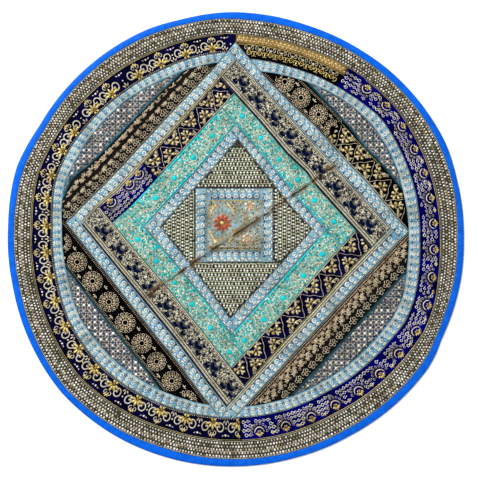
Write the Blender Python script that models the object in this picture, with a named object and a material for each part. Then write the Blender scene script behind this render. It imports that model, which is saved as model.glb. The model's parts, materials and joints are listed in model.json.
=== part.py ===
"""Round patchwork tapestry of embroidered sari borders, lying flat, face up.

Top of the picture is +Y and its right side is +X. The cloth rests on z = 0, its centre over the origin.
All sizes are in millimetres, and bearings are in degrees anticlockwise from +X.
A ground cloth carries flat patches that meet at seams, and a folded binding closes the rim.
One soft crease runs across the middle, and every layer rises over it together.
"""

import math

import bmesh
import bpy
import numpy as np

MM = 0.001

# Layers, from the surface upwards
GAP = 0.3
GROUND_THICK = 1.2
PATCH_THICK = 1.3
BEADED_THICK = 1.8
PIPING_THICK = 2.2
BINDING_TOP = 3.3
PATCH_LEVEL = GROUND_THICK + GAP

# Rim: the binding stands outside the ground cloth and laps over its face
BINDING_WALL = 2.0
BINDING_ROUND = 1.0

# Widths
BRAID_WIDTH = 17.0
PIPING_WIDTH = 3.0

# Every ring and arc bends at the same bearings, so that neighbours keep an even gap
BENDS = 96
BEND_STEP = 360.0 / BENDS

# Uneven rings: bearing, then the radius of the rim and of the inner edge of the binding, the bead band,
# the borders and the light blue ring
RINGS = (
    (0, 500.5, 488, 451, 405, 380),
    (16, 503, 493, 452, 409, 382),
    (24, 507, 494, 453, 410, 387),
    (40, 503, 490, 456, 416, 391),
    (48, 501, 487, 454, 408, 389),
    (56, 498, 485, 450, 403, 385),
    (72, 495, 481, 446, 397, 376),
    (88, 498, 483, 448, 398, 371),
    (92, 499, 486, 452, 412, 391),
    (104, 497, 486, 451, 410, 389),
    (112, 500, 487, 450, 407, 386),
    (128, 499, 487, 453, 406, 389),
    (150, 498, 485, 456, 415, 392),
    (162, 507, 492, 459, 417, 396),
    (176, 501, 489, 450, 404, 383),
    (192, 500.5, 487, 451, 403, 379),
    (206, 505, 492, 454, 408, 384),
    (221, 510, 498, 459, 408, 378),
    (240, 506, 491, 450, 401, 372),
    (250, 503, 486, 445, 397, 369),
    (268, 499, 484, 443, 393, 369),
    (284, 497, 484, 443, 392, 367),
    (300, 499, 484, 442, 391, 366),
    (316, 505, 489, 451, 399, 372),
    (328, 509, 494, 457, 407, 380),
    (334, 502, 490, 463, 415, 386),
    (342, 502, 488, 461, 414, 388),
    (350, 502, 489, 454, 409, 381),
)

# Bearings where one length of a ring ends and the next begins
TOP_TIP = 90.0
BRAID_END = 56.5
BORDER_JOIN = 271.5
BOTTOM_TIP = 267.2
TIP_SPREAD = 12.0

# How far a side's seam is run on past its last bend before its ends are cut
RUN_ON = 120.0

# Sides of the diamond frames, anticlockwise, and the bearing that each one faces
SIDES = ("top_right", "top_left", "bottom_left", "bottom_right")
LONG_SIDES = ("top_right", "bottom_left")
FACING = {"top_right": 43.2, "top_left": 136.5, "bottom_left": 219.5, "bottom_right": 317.0}

# Seams of the diamond frames. Each bend is its place along the side, anticlockwise from the middle of the
# side, and its distance from the centre towards the bearing that the side faces.
DIAMOND_OUTER = {
    "top_right": ((-246, 289), (-100, 297), (-50, 295), (60, 298), (140, 293), (215, 291.3), (311, 296)),
    "top_left": ((-315, 299), (-235, 294), (-100, 294.5), (100, 292), (160, 294.5), (240, 294.5)),
    "bottom_left": ((-262, 265.5), (-100, 268), (0, 270.5), (120, 271.5), (215, 275.5), (280, 277)),
    "bottom_right": ((-250, 266), (0, 264.8), (120, 263.7), (268, 265.5)),
}
SECOND_OUTER = {
    "top_right": ((-226, 263.5), (-40, 267.5), (100, 270), (290, 271)),
    "top_left": ((-230, 268.5), (-120, 265), (60, 263), (105, 263), (150, 268.5), (215, 267.5)),
    "bottom_left": ((-240, 241.5), (60, 243), (120, 244.5), (200, 248.7), (270, 251)),
    "bottom_right": ((-220, 235.5), (-100, 232.7), (0, 232.5), (100, 230), (200, 231.5)),
}
TURQUOISE_OUTER = {
    "top_right": ((-165, 205), (-25, 208.5), (0, 213), (60, 209.5), (160, 215), (234, 216.5)),
    "top_left": ((-228, 222), (-120, 219.5), (60, 217.3), (110, 217.5), (162, 222)),
    "bottom_left": ((-245, 186), (-150, 186), (0, 183.5), (120, 185), (215, 188)),
    "bottom_right": ((-205, 185), (-40, 184.5), (100, 180.7), (192, 180)),
}
INNER_BLUE_OUTER = {
    "top_right": ((-125, 160), (-20, 161), (0, 164.5), (100, 170), (185, 174)),
    "top_left": ((-180, 173.5), (-60, 167.5), (60, 166.3), (120, 165.5)),
    "bottom_left": ((-155, 138.7), (-60, 137), (60, 137), (155, 141.5)),
    "bottom_right": ((-155, 136), (-60, 135), (100, 132), (160, 132.5)),
}
BEADED_OUTER = {
    "top_right": ((-100, 137), (-20, 138), (40, 144), (155, 154)),
    "top_left": ((-150, 147.5), (-80, 143), (-20, 142.5), (30, 140), (100, 139.5)),
    "bottom_left": ((-125, 110), (0, 113), (125, 120.5)),
    "bottom_right": ((-130, 110), (0, 109), (150, 108)),
}

# Middle line of the piping between each side border and its crosshatch piece, in the same columns
PIPING = {
    "top_right": ((-155, 343.5), (-80, 347.5), (-50, 345), (0, 350.5), (125, 351.5)),
    "top_left": ((-190, 338.5), (-80, 343), (60, 344.5), (105, 345.5), (135, 352), (155, 352), (175, 345)),
    "bottom_left": ((-178, 327.5), (-100, 331), (0, 333.2), (100, 335.3), (155, 338.5)),
    "bottom_right": ((-170, 324), (-100, 325.3), (0, 325.7), (100, 324), (200, 322)),
}

# Centre square: the place of each side of its outer edge and of the panel inside it
SQUARE_OUTER = {"right": 81.8, "top": 112.0, "left": -89.2, "bottom": -50.2}
PANEL_OUTER = {"right": 58.7, "top": 86.2, "left": -64.5, "bottom": -24.9}

# Straight seams that cross a border where two lengths meet: the bearing they face, distance from the centre
SECOND_CROSSING = (47.3, -17.8)
SIDE_CROSSING = (133.2, 25.7)

# Crease: a ridge with a straight crest that rises from one end, runs level and falls to the other
CREASE_START = (-200.0, -123.0)
CREASE_END = (229.0, 174.0)
CREASE_RISEN = 0.34
CREASE_FALLING = 0.66
CREASE_HEIGHT = 5.0
CREASE_HALF_WIDTH = 15.0

# Finish of each material: red, green, blue, roughness
FINISHES = {
    "ground_cotton": (0.02, 0.04, 0.12, 0.9),
    "blue_satin": (0.0, 0.19, 0.92, 0.45),
    "bead_cloth": (0.21, 0.18, 0.13, 0.5),
    "navy_silk": (0.02, 0.02, 0.10, 0.6),
    "black_silk": (0.01, 0.01, 0.01, 0.6),
    "royal_silk": (0.01, 0.01, 0.30, 0.6),
    "gold_braid": (0.72, 0.45, 0.10, 0.4),
    "light_blue_silk": (0.27, 0.54, 0.77, 0.5),
    "turquoise_silk": (0.30, 0.58, 0.50, 0.5),
    "floral_beige": (0.33, 0.28, 0.20, 0.6),
    "brown_gold": (0.26, 0.17, 0.10, 0.6),
    "crosshatch_net": (0.36, 0.29, 0.28, 0.7),
    "teal_piping": (0.01, 0.07, 0.10, 0.5),
    "medallion_silk": (0.56, 0.45, 0.27, 0.6),
}


def direction(bearing):
    """The unit vector that points along a bearing."""
    angle = math.radians(bearing)
    return np.array((math.cos(angle), math.sin(angle)))


def bearing_of(point, near):
    """The bearing of a point from the centre, as the turn within half a turn of another bearing."""
    bearing = math.degrees(math.atan2(point[1], point[0]))
    return near + (bearing - near + 180.0) % 360.0 - 180.0


def measured_radius(edge, bearing):
    """The radius of a ring's edge at a bearing, read between the measured rows."""
    bearings, outline, binding, bead, border, blue = zip(*RINGS)
    columns = {
        "outline": outline, "binding": binding, "bead": bead, "braid": bead, "border": border, "blue": blue,
    }
    radius = np.interp(bearing, bearings, columns[edge], period=360)
    return radius - BRAID_WIDTH if edge == "braid" else radius


def edge_radius(edge, bearing, offset=0.0):
    """The radius where a bearing crosses a ring's edge, which runs straight from bend to bend."""
    before = math.floor(bearing / BEND_STEP + 1e-9) * BEND_STEP
    near = measured_radius(edge, before) + offset
    if bearing - before < 1e-6:
        return near
    far = measured_radius(edge, before + BEND_STEP) + offset
    turned = math.radians(bearing - before)
    whole = math.radians(BEND_STEP)
    return near * far * math.sin(whole) / (near * math.sin(turned) + far * math.sin(whole - turned))


def edge_point(edge, bearing, offset=0.0):
    return direction(bearing) * edge_radius(edge, bearing, offset)


def bends_between(first, last):
    """The bend bearings strictly between two bearings, in the order in which they are passed."""
    low, high = min(first, last), max(first, last)
    start = math.floor(low / BEND_STEP + 1e-6) + 1
    stop = math.ceil(high / BEND_STEP - 1e-6)
    bearings = [index * BEND_STEP for index in range(start, stop)]
    return bearings if last > first else bearings[::-1]


def clipped(outline, seam, keep):
    """The part of an outline on one side of a straight seam, half a gap away from it.

    A seam is the bearing that it faces and its distance from the centre. keep is "inside" or "outside".
    """
    sign = 1.0 if keep == "inside" else -1.0
    normal = direction(seam[0]) * sign
    limit = seam[1] * sign - GAP / 2
    kept = []
    for here, there in zip(outline, outline[1:] + outline[:1]):
        depth_here = limit - here @ normal
        depth_there = limit - there @ normal
        if depth_here >= 0:
            kept.append(here)
        if (depth_here > 0 > depth_there) or (depth_here < 0 < depth_there):
            kept.append(here + (there - here) * depth_here / (depth_here - depth_there))
    return kept


def side_line(side, bends, distance=0.0):
    """The bends of a line along a side of the diamond as points, moved outwards and mitred at each bend."""
    normal = direction(FACING[side])
    along = direction(FACING[side] + 90.0)
    points = [along * place + normal * away for place, away in bends]
    normals = []
    for here, there in zip(points, points[1:]):
        run = (there - here) / np.linalg.norm(there - here)
        normals.append(np.array((run[1], -run[0])))
    moved = [points[0] + normals[0] * distance]
    for point, before, after in zip(points[1:-1], normals, normals[1:]):
        middle = (before + after) / np.linalg.norm(before + after)
        moved.append(point + middle * distance / (middle @ before))
    moved.append(points[-1] + normals[-1] * distance)
    return moved


def seam_through(here, there):
    """The straight seam through two points passed anticlockwise: the bearing it faces and its distance."""
    run = (there - here) / np.linalg.norm(there - here)
    normal = np.array((run[1], -run[0]))
    return bearing_of(normal, 0.0), here @ normal


def end_seams(seams, side):
    """The straight ends of the two neighbouring sides' seams that a side runs up against."""
    place = SIDES.index(side)
    before, after = SIDES[place - 1], SIDES[(place + 1) % 4]
    return (
        seam_through(*side_line(before, seams[before])[-2:]),
        seam_through(*side_line(after, seams[after])[:2]),
    )


def lengthened(line):
    """A line whose two end stretches run on well past the corners of the frames."""
    first = (line[0] - line[1]) / np.linalg.norm(line[0] - line[1])
    last = (line[-1] - line[-2]) / np.linalg.norm(line[-1] - line[-2])
    return [line[0] + first * RUN_ON] + line[1:-1] + [line[-1] + last * RUN_ON]


def frame_length(outer, inner, side):
    """One side of a diamond frame. The long sides reach the corners. The other two end against them."""
    outline = lengthened(side_line(side, inner[side], GAP / 2))
    outline += lengthened(side_line(side, outer[side], -GAP / 2))[::-1]
    for seam in end_seams(outer if side in LONG_SIDES else inner, side):
        outline = clipped(outline, seam, "inside")
    return outline


def within_border(outline):
    """The part of an outline that lies inside the borders near the diamond's bottom tip."""
    bearings = bends_between(BOTTOM_TIP - TIP_SPREAD, BOTTOM_TIP + TIP_SPREAD)
    for here, there in zip(bearings, bearings[1:]):
        seam = seam_through(edge_point("border", here), edge_point("border", there))
        outline = clipped(outline, seam, "inside")
    return outline


def crossing(first, second):
    """The point where two straight seams cross, each given as two points."""
    (here, there), (near, far) = first, second
    run, other = there - here, far - near
    turn = run[0] * other[1] - run[1] * other[0]
    away = near - here
    return here + run * (away[0] * other[1] - away[1] * other[0]) / turn


def inside_frames():
    """The outline of the space inside the innermost diamond frame."""
    lines = [side_line(side, BEADED_OUTER[side], -GAP / 2) for side in SIDES]
    outline = []
    for line, following in zip(lines, lines[1:] + lines[:1]):
        outline += line[1:-1] + [crossing(line[-2:], following[:2])]
    return outline


def rectangle(left, bottom, right, top):
    """A rectangle cut half a gap inside its seams."""
    left, bottom, right, top = left + GAP / 2, bottom + GAP / 2, right - GAP / 2, top - GAP / 2
    return [np.array(corner) for corner in ((left, bottom), (right, bottom), (right, top), (left, top))]


def square_length(side):
    """One side of the centre square's frame. The left and right sides reach its corners."""
    outer, inner = SQUARE_OUTER, PANEL_OUTER
    if side == "left":
        return rectangle(outer["left"], outer["bottom"], inner["left"], outer["top"])
    if side == "right":
        return rectangle(inner["right"], outer["bottom"], outer["right"], outer["top"])
    if side == "top":
        return rectangle(inner["left"], inner["top"], inner["right"], outer["top"])
    return rectangle(inner["left"], outer["bottom"], inner["right"], inner["bottom"])


def beaded_triangle(side):
    """The beaded patch outside one side of the centre square. The top and bottom ones are full width."""
    right, top = (0.0, SQUARE_OUTER["right"]), (90.0, SQUARE_OUTER["top"])
    left, bottom = (180.0, -SQUARE_OUTER["left"]), (270.0, -SQUARE_OUTER["bottom"])
    outline = inside_frames()
    if side == "top":
        return clipped(outline, top, "outside")
    if side == "bottom":
        return clipped(outline, bottom, "outside")
    outline = clipped(outline, right if side == "right" else left, "outside")
    return clipped(clipped(outline, top, "inside"), bottom, "inside")


def run_to_ring(inner, outer):
    """The point where a line from one point through another meets the light blue ring, found by halving."""
    along = (outer - inner) / np.linalg.norm(outer - inner)
    near, far = 0.0, 2 * edge_radius("outline", 0.0)
    for _ in range(50):
        middle = (near + far) / 2
        point = inner + along * middle
        bearing = bearing_of(point, 0.0)
        if np.linalg.norm(point) < edge_radius("blue", bearing, -GAP / 2):
            near = middle
        else:
            far = middle
    return inner + along * near


def across_field(line):
    """A line whose two end stretches are lengthened or cut so that it runs from ring to ring."""
    return [run_to_ring(line[1], line[0])] + list(line[1:-1]) + [run_to_ring(line[-2], line[-1])]


def ring_run(first, last, facing):
    """The bends of the light blue ring between two points that lie on it."""
    start = bearing_of(first, facing)
    stop = bearing_of(last, facing)
    return [edge_point("blue", bearing, -GAP / 2) for bearing in bends_between(start, stop)]


def region_between(inner, outer, facing):
    """The space between two lines that cross the field, or between one line and the ring."""
    inner = across_field(inner)
    if outer is None:
        return inner + ring_run(inner[-1], inner[0], facing)
    outer = across_field(outer)
    ends = ring_run(inner[-1], outer[-1], facing)
    starts = ring_run(outer[0], inner[0], facing)
    return inner + ends + outer[::-1] + starts


def side_border(side):
    """The border between the large diamond and the piping. The long sides run on to the ring."""
    inner = side_line(side, DIAMOND_OUTER[side], GAP / 2)
    outer = side_line(side, PIPING[side], -PIPING_WIDTH / 2 - GAP)
    outline = region_between(inner, outer, FACING[side])
    if side not in LONG_SIDES:
        for seam in end_seams(DIAMOND_OUTER, side):
            outline = clipped(outline, seam, "inside")
    return outline


def piping(side):
    inner = side_line(side, PIPING[side], -PIPING_WIDTH / 2)
    outer = side_line(side, PIPING[side], PIPING_WIDTH / 2)
    return region_between(inner, outer, FACING[side])


def crosshatch(side):
    inner = side_line(side, PIPING[side], PIPING_WIDTH / 2 + GAP)
    return region_between(inner, None, FACING[side])


def crease_place(point):
    """How far a point lies along the crease, from 0 to 1, and its distance to the side of the crest."""
    start = np.array(CREASE_START)
    run = np.array(CREASE_END) - start
    length = np.linalg.norm(run)
    along = run / length
    away = np.array(point) - start
    return (away @ along) / length, away @ np.array((-along[1], along[0]))


def crease_height(point):
    """Height of the crease: it rises and falls in straight lines along the crest and down both flanks."""
    share, aside = crease_place(point)
    crest = min(1.0, share / CREASE_RISEN, (1.0 - share) / (1.0 - CREASE_FALLING))
    return CREASE_HEIGHT * max(0.0, crest - abs(aside) / CREASE_HALF_WIDTH)


def crease_folds():
    """The lines along which the crease bends, each as a point and the direction square to the line."""
    start = np.array(CREASE_START)
    run = np.array(CREASE_END) - start
    length = np.linalg.norm(run)
    along = run / length
    square = np.array((-along[1], along[0]))
    folds = [(start, square)]
    for share in (CREASE_RISEN, CREASE_FALLING):
        folds.append((start + run * share, along))
    for aside in (-CREASE_HALF_WIDTH, CREASE_HALF_WIDTH):
        folds.append((start + square * aside, square))
        risen = start + run * CREASE_RISEN + square * aside
        falling = start + run * CREASE_FALLING + square * aside
        for end, shoulder in ((start, risen), (start + run, falling)):
            slope = (shoulder - end) / np.linalg.norm(shoulder - end)
            folds.append((end, np.array((-slope[1], slope[0]))))
    return folds


def crosses_crease(outline):
    """Whether any of an outline lies over the crease."""
    start = np.array(CREASE_START)
    run = np.array(CREASE_END) - start
    length = np.linalg.norm(run)
    facing = math.degrees(math.atan2(run[1], run[0]))
    along, square = direction(facing), direction(facing + 90.0)
    limits = (
        ((facing, start @ along + length), "inside"),
        ((facing, start @ along), "outside"),
        ((facing + 90.0, start @ square + CREASE_HALF_WIDTH), "inside"),
        ((facing + 90.0, start @ square - CREASE_HALF_WIDTH), "outside"),
    )
    for seam, keep in limits:
        outline = clipped(outline, seam, keep)
    return len(outline) > 2


def upright(vector):
    """A flat vector as one in space."""
    return (vector[0], vector[1], 0.0)


def finish(slot):
    """A fabric finish, made once and shared."""
    if slot in bpy.data.materials:
        return bpy.data.materials[slot]
    red, green, blue, roughness = FINISHES[slot]
    material = bpy.data.materials.new(slot)
    material.use_nodes = True
    shader = material.node_tree.nodes["Principled BSDF"]
    shader.inputs["Base Color"].default_value = (red, green, blue, 1.0)
    shader.inputs["Roughness"].default_value = roughness
    shader.inputs["Metallic"].default_value = 0.0
    material.diffuse_color = (red, green, blue, 1.0)
    return material


def place(name, mesh_maker, slot):
    """Turns a bmesh into a named object with its finish."""
    bmesh.ops.recalc_face_normals(mesh_maker, faces=mesh_maker.faces)
    mesh = bpy.data.meshes.new(name)
    mesh_maker.to_mesh(mesh)
    mesh_maker.free()
    mesh.materials.append(finish(slot))
    obj = bpy.data.objects.new(name, mesh)
    bpy.context.scene.collection.objects.link(obj)
    return obj


def raise_cloth(sheet, level, thick):
    """Gives a flat sheet its thickness, and lifts both of its faces over the crease."""
    lower = list(sheet.verts)
    raised = bmesh.ops.extrude_face_region(sheet, geom=list(sheet.faces))["geom"]
    upper = [item for item in raised if isinstance(item, bmesh.types.BMVert)]
    for vertices, height in ((lower, level), (upper, level + thick)):
        for vertex in vertices:
            point = (vertex.co.x / MM, vertex.co.y / MM)
            vertex.co.z = (height + crease_height(point)) * MM


def patch(name, outline, slot, level=PATCH_LEVEL, thick=PATCH_THICK):
    """A flat piece of cloth cut to an outline, bent where it crosses the crease."""
    sheet = bmesh.new()
    sheet.faces.new([sheet.verts.new(upright(point * MM)) for point in outline])
    if crosses_crease(outline):
        for point, square in crease_folds():
            geometry = list(sheet.verts) + list(sheet.edges) + list(sheet.faces)
            bmesh.ops.bisect_plane(
                sheet, geom=geometry, dist=1e-7, plane_co=upright(point * MM), plane_no=upright(square)
            )
    raise_cloth(sheet, level, thick)
    return place(name, sheet, slot)


def band(name, edges, span, slot, thick=PATCH_THICK, tips=()):
    """A curved length between two ring edges, or a whole ring where span is None.

    edges are the outer and inner edges. tips are the diamond seams that cut its ends, each with the
    bearing near which it cuts.
    """
    if span is None:
        bearings = [index * BEND_STEP for index in range(BENDS)]
    else:
        turn = math.degrees(GAP / 2 / edge_radius(edges[1], span[0]))
        start, stop = span[0] + turn, span[1] - turn
        bearings = [start] + bends_between(start, stop) + [stop]
    sheet = bmesh.new()
    rows = []
    for edge, offset in ((edges[0], -GAP / 2), (edges[1], GAP / 2)):
        points = [edge_point(edge, bearing, offset) for bearing in bearings]
        rows.append([sheet.verts.new(upright(point * MM)) for point in points])
    count = len(bearings)
    for index in range(count if span is None else count - 1):
        after = (index + 1) % count
        sheet.faces.new((rows[0][index], rows[0][after], rows[1][after], rows[1][index]))
    for tip, seam in tips:
        cut_tip(sheet, tip, seam)
    raise_cloth(sheet, PATCH_LEVEL, thick)
    return place(name, sheet, slot)


def cut_tip(sheet, tip, seam):
    """Cuts away what lies inside a diamond seam, near one tip of the diamond."""
    near = set()
    for face in sheet.faces:
        centre = face.calc_center_median()
        if abs(bearing_of(centre, tip) - tip) < TIP_SPREAD:
            near.add(face)
            near.update(face.edges)
            near.update(face.verts)
    normal = direction(seam[0])
    point = normal * (seam[1] + GAP / 2) * MM
    bmesh.ops.bisect_plane(
        sheet, geom=list(near), dist=1e-7, clear_inner=True,
        plane_co=upright(point), plane_no=upright(normal),
    )
    loose = [vertex for vertex in sheet.verts if not vertex.link_faces]
    bmesh.ops.delete(sheet, geom=loose, context="VERTS")


def ground_cloth():
    outline = [edge_point("outline", index * BEND_STEP, -BINDING_WALL - GAP) for index in range(BENDS)]
    return patch("ground_cloth", outline, "ground_cotton", 0.0, GROUND_THICK)


def edge_binding():
    """The folded binding: its section stands outside the ground cloth and laps over the cloth's face."""
    section_rows = (
        ("outline", 0.0, 0.0),
        ("outline", 0.0, BINDING_TOP - BINDING_ROUND),
        ("outline", -BINDING_ROUND, BINDING_TOP),
        ("binding", 0.0, BINDING_TOP),
        ("binding", 0.0, PATCH_LEVEL),
        ("outline", -BINDING_WALL, PATCH_LEVEL),
        ("outline", -BINDING_WALL, 0.0),
    )
    shell = bmesh.new()
    rings = []
    for edge, offset, height in section_rows:
        ring = []
        for index in range(BENDS):
            point = edge_point(edge, index * BEND_STEP, offset)
            ring.append(shell.verts.new((point[0] * MM, point[1] * MM, height * MM)))
        rings.append(ring)
    for lower, upper in zip(rings, rings[1:] + rings[:1]):
        for index in range(BENDS):
            after = (index + 1) % BENDS
            shell.faces.new((lower[index], lower[after], upper[after], upper[index]))
    return place("edge_binding", shell, "blue_satin")


def rings():
    """The bead band, the borders and the light blue ring. The diamond's tips lie between their ends."""
    top_left = (TOP_TIP, end_seams(DIAMOND_OUTER, "top_right")[1])
    top_right = (TOP_TIP, end_seams(DIAMOND_OUTER, "top_left")[0])
    bottom_left = (BOTTOM_TIP, end_seams(DIAMOND_OUTER, "bottom_right")[0])
    bottom_right = (BOTTOM_TIP - 360.0, end_seams(DIAMOND_OUTER, "bottom_left")[1])
    band("bead_band", ("binding", "bead"), None, "bead_cloth", BEADED_THICK)
    band("navy_border", ("bead", "border"), (TOP_TIP, BORDER_JOIN), "navy_silk", tips=[top_left])
    band("gold_braid", ("bead", "braid"), (BRAID_END, TOP_TIP), "gold_braid")
    band("black_scroll_border", ("braid", "border"), (BRAID_END, TOP_TIP), "black_silk", tips=[top_right])
    band("royal_border", ("bead", "border"), (BORDER_JOIN - 360.0, BRAID_END), "royal_silk")
    for end, span, tips in (
        ("left", (TOP_TIP, BOTTOM_TIP), (top_left, bottom_left)),
        ("right", (BOTTOM_TIP - 360.0, TOP_TIP), (top_right, bottom_right)),
    ):
        band(f"light_blue_ring_{end}", ("border", "blue"), span, "light_blue_silk", tips=tips)


def corner_pieces():
    """Outside each side of the large diamond: a border, its piping, and a crosshatch piece."""
    slots = {"top_left": "brown_gold", "bottom_left": "black_silk", "bottom_right": "brown_gold"}
    for side in SIDES:
        if side in slots:
            patch(f"side_border_{side}", side_border(side), slots[side])
        patch(f"piping_{side}", piping(side), "teal_piping", thick=PIPING_THICK)
        patch(f"crosshatch_{side}", crosshatch(side), "crosshatch_net")
    outline = side_border("top_right")
    patch("side_border_top_right_upper", clipped(outline, SIDE_CROSSING, "outside"), "black_silk")
    patch("side_border_top_right_lower", clipped(outline, SIDE_CROSSING, "inside"), "black_silk")


def diamond_frames():
    """The nested frames of the diamond, from the outside inwards."""
    floral = {"top_right": "floral_beige", "bottom_left": "floral_beige", "bottom_right": "navy_silk"}
    for side in SIDES:
        outline = within_border(frame_length(DIAMOND_OUTER, SECOND_OUTER, side))
        patch(f"diamond_{side}", outline, "light_blue_silk")
        outline = frame_length(SECOND_OUTER, TURQUOISE_OUTER, side)
        if side in floral:
            patch(f"second_{side}", outline, floral[side])
        else:
            patch(f"second_{side}_upper", clipped(outline, SECOND_CROSSING, "outside"), "navy_silk")
            patch(f"second_{side}_lower", clipped(outline, SECOND_CROSSING, "inside"), "royal_silk")
        patch(f"turquoise_{side}", frame_length(TURQUOISE_OUTER, INNER_BLUE_OUTER, side), "turquoise_silk")
        patch(f"inner_blue_{side}", frame_length(INNER_BLUE_OUTER, BEADED_OUTER, side), "light_blue_silk")


def centre():
    """The beaded triangles, the square frame and the medallion panel."""
    for side in ("right", "top", "left", "bottom"):
        patch(f"beaded_{side}", beaded_triangle(side), "bead_cloth", thick=BEADED_THICK)
        patch(f"square_{side}", square_length(side), "light_blue_silk")
    panel = rectangle(PANEL_OUTER["left"], PANEL_OUTER["bottom"], PANEL_OUTER["right"], PANEL_OUTER["top"])
    patch("medallion", panel, "medallion_silk")


for leftover in list(bpy.data.objects):
    bpy.data.objects.remove(leftover)
ground_cloth()
edge_binding()
rings()
corner_pieces()
diamond_frames()
centre()
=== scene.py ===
"""Looks of the round patchwork tapestry: satin and silk cloths with sequins, beads and zari thread sewn on.

Making works in millimetres, and each mesh is scaled to metres once, when it is finished. Every cloth piece
follows the outline of its own solid, read from the frame, and everything sewn on follows that cloth.
"""
import json
import math

import bmesh
import bpy
import numpy as np
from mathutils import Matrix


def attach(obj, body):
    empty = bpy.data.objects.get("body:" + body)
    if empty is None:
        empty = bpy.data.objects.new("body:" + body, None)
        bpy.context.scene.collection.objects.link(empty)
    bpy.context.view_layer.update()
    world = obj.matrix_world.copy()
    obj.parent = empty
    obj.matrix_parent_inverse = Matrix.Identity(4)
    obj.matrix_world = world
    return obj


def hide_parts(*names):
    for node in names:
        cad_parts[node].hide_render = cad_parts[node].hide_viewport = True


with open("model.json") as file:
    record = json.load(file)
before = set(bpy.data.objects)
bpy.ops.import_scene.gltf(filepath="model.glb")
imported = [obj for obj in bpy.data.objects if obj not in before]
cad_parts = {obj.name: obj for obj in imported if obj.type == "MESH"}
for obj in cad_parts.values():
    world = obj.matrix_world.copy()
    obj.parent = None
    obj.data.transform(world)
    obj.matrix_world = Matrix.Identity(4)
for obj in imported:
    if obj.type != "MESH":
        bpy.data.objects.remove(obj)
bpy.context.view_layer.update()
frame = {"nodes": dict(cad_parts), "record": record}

MM = 0.001

SIDES = ("top_right", "top_left", "bottom_left", "bottom_right")
SLOT_OF = {part["node"]: part["material_slot"] for part in frame["record"]["subparts"]}

# Heights in millimetres: the face of the base cloth, the back of the patches, how far a patch falls at its
# seams, and how far sewn work sinks into its cloth
BASE_LEVEL = 1.2
CLOTH_LEVEL = 1.5
SEAM_DROP = 0.7
SUNK = 0.25

# How far inside the outline of its cloth sewn work stays
MARGIN = 0.2

# Spacing of a patch's points in millimetres, where it lies over the crease and elsewhere
FINE_STEP = 3.0
COARSE_STEP = 8.0

# How many places along a patch its outline is looked up at
TABLE_PLACES = 3000

# Mean radius of the binding in millimetres, its width from edge to edge, and how far it stands out
BINDING_RADIUS = 495.0
BINDING_WIDTH = 14.0
BINDING_PROUD = 0.9

# Pitch and depth of the woven threads in millimetres
THREAD_PITCH = 0.9
THREAD_DEPTH = 0.12

# Screen colours painted on: dull patches of wear, the brown of the crease, part stain and part painted shade,
# and the painted shade of its dark fold line
DULL_PATCH = (178, 172, 160)
BROWN_STAIN_AND_SHADE = (118, 92, 52)
FOLD_SHADE = (44, 32, 20)

# Crease across the middle: its two ends, how high it stands and how far each flank reaches, in millimetres,
# and the share of its length over which it rises at each end
CREASE_START = np.array((-200.0, -123.0))
CREASE_END = np.array((229.0, 174.0))
CREASE_HEIGHT = 5.0
CREASE_REACH = 15.0
CREASE_TAPER = 0.34
CREASE_LENGTH = np.linalg.norm(CREASE_END - CREASE_START)
CREASE_ALONG = (CREASE_END - CREASE_START) / CREASE_LENGTH
CREASE_ASIDE = np.array((-CREASE_ALONG[1], CREASE_ALONG[0]))


def paint(red, green, blue):
    """A screen colour of 0 to 255 as the linear colour that a shader takes."""
    screen = np.array((red, green, blue)) / 255.0
    linear = np.where(screen <= 0.04045, screen / 12.92, ((screen + 0.055) / 1.055) ** 2.4)
    return tuple(float(value) for value in linear) + (1.0,)


def spokes(angle):
    """Unit steps at angles in radians: (cos, sin)."""
    return np.stack((np.cos(angle), np.sin(angle)), axis=-1)


def turned(bearing):
    """The unit step along a bearing in degrees."""
    return spokes(np.radians(bearing))


def raised(flat, height):
    """Places on the plane with a height added to each."""
    return np.concatenate((flat, np.broadcast_to(height, flat.shape[:-1])[..., None]), axis=-1)


def crease_rise(points):
    """Height of the crease: H q^2 (3 - 2q), with q = taper(share along) - |aside| / reach, held to 0..1."""
    away = points - CREASE_START
    share = away @ CREASE_ALONG / CREASE_LENGTH
    taper = np.minimum(1.0, np.minimum(share, 1.0 - share) / CREASE_TAPER)
    q = np.clip(taper - np.abs(away @ CREASE_ASIDE) / CREASE_REACH, 0.0, 1.0)
    return CREASE_HEIGHT * q * q * (3.0 - 2.0 * q)


def pucker(points):
    """Height of the puckers in the sewn cloths: 0.36 sin(x / 6.1 + bend) + 0.32 sin(y / 5.6 + bend).

    Each bend is two slower sines of the other distance, so that both waves wander.
    """
    x, y = points[..., 0], points[..., 1]
    level = 0.36 * np.sin(x / 6.1 + 2.1 * np.sin(y / 23.0) + 1.1 * np.sin(y / 9.0))
    upright = 0.32 * np.sin(y / 5.6 + 1.9 * np.sin(x / 27.0) + 1.2 * np.sin(x / 11.0))
    return level + upright


# Meshes

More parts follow.
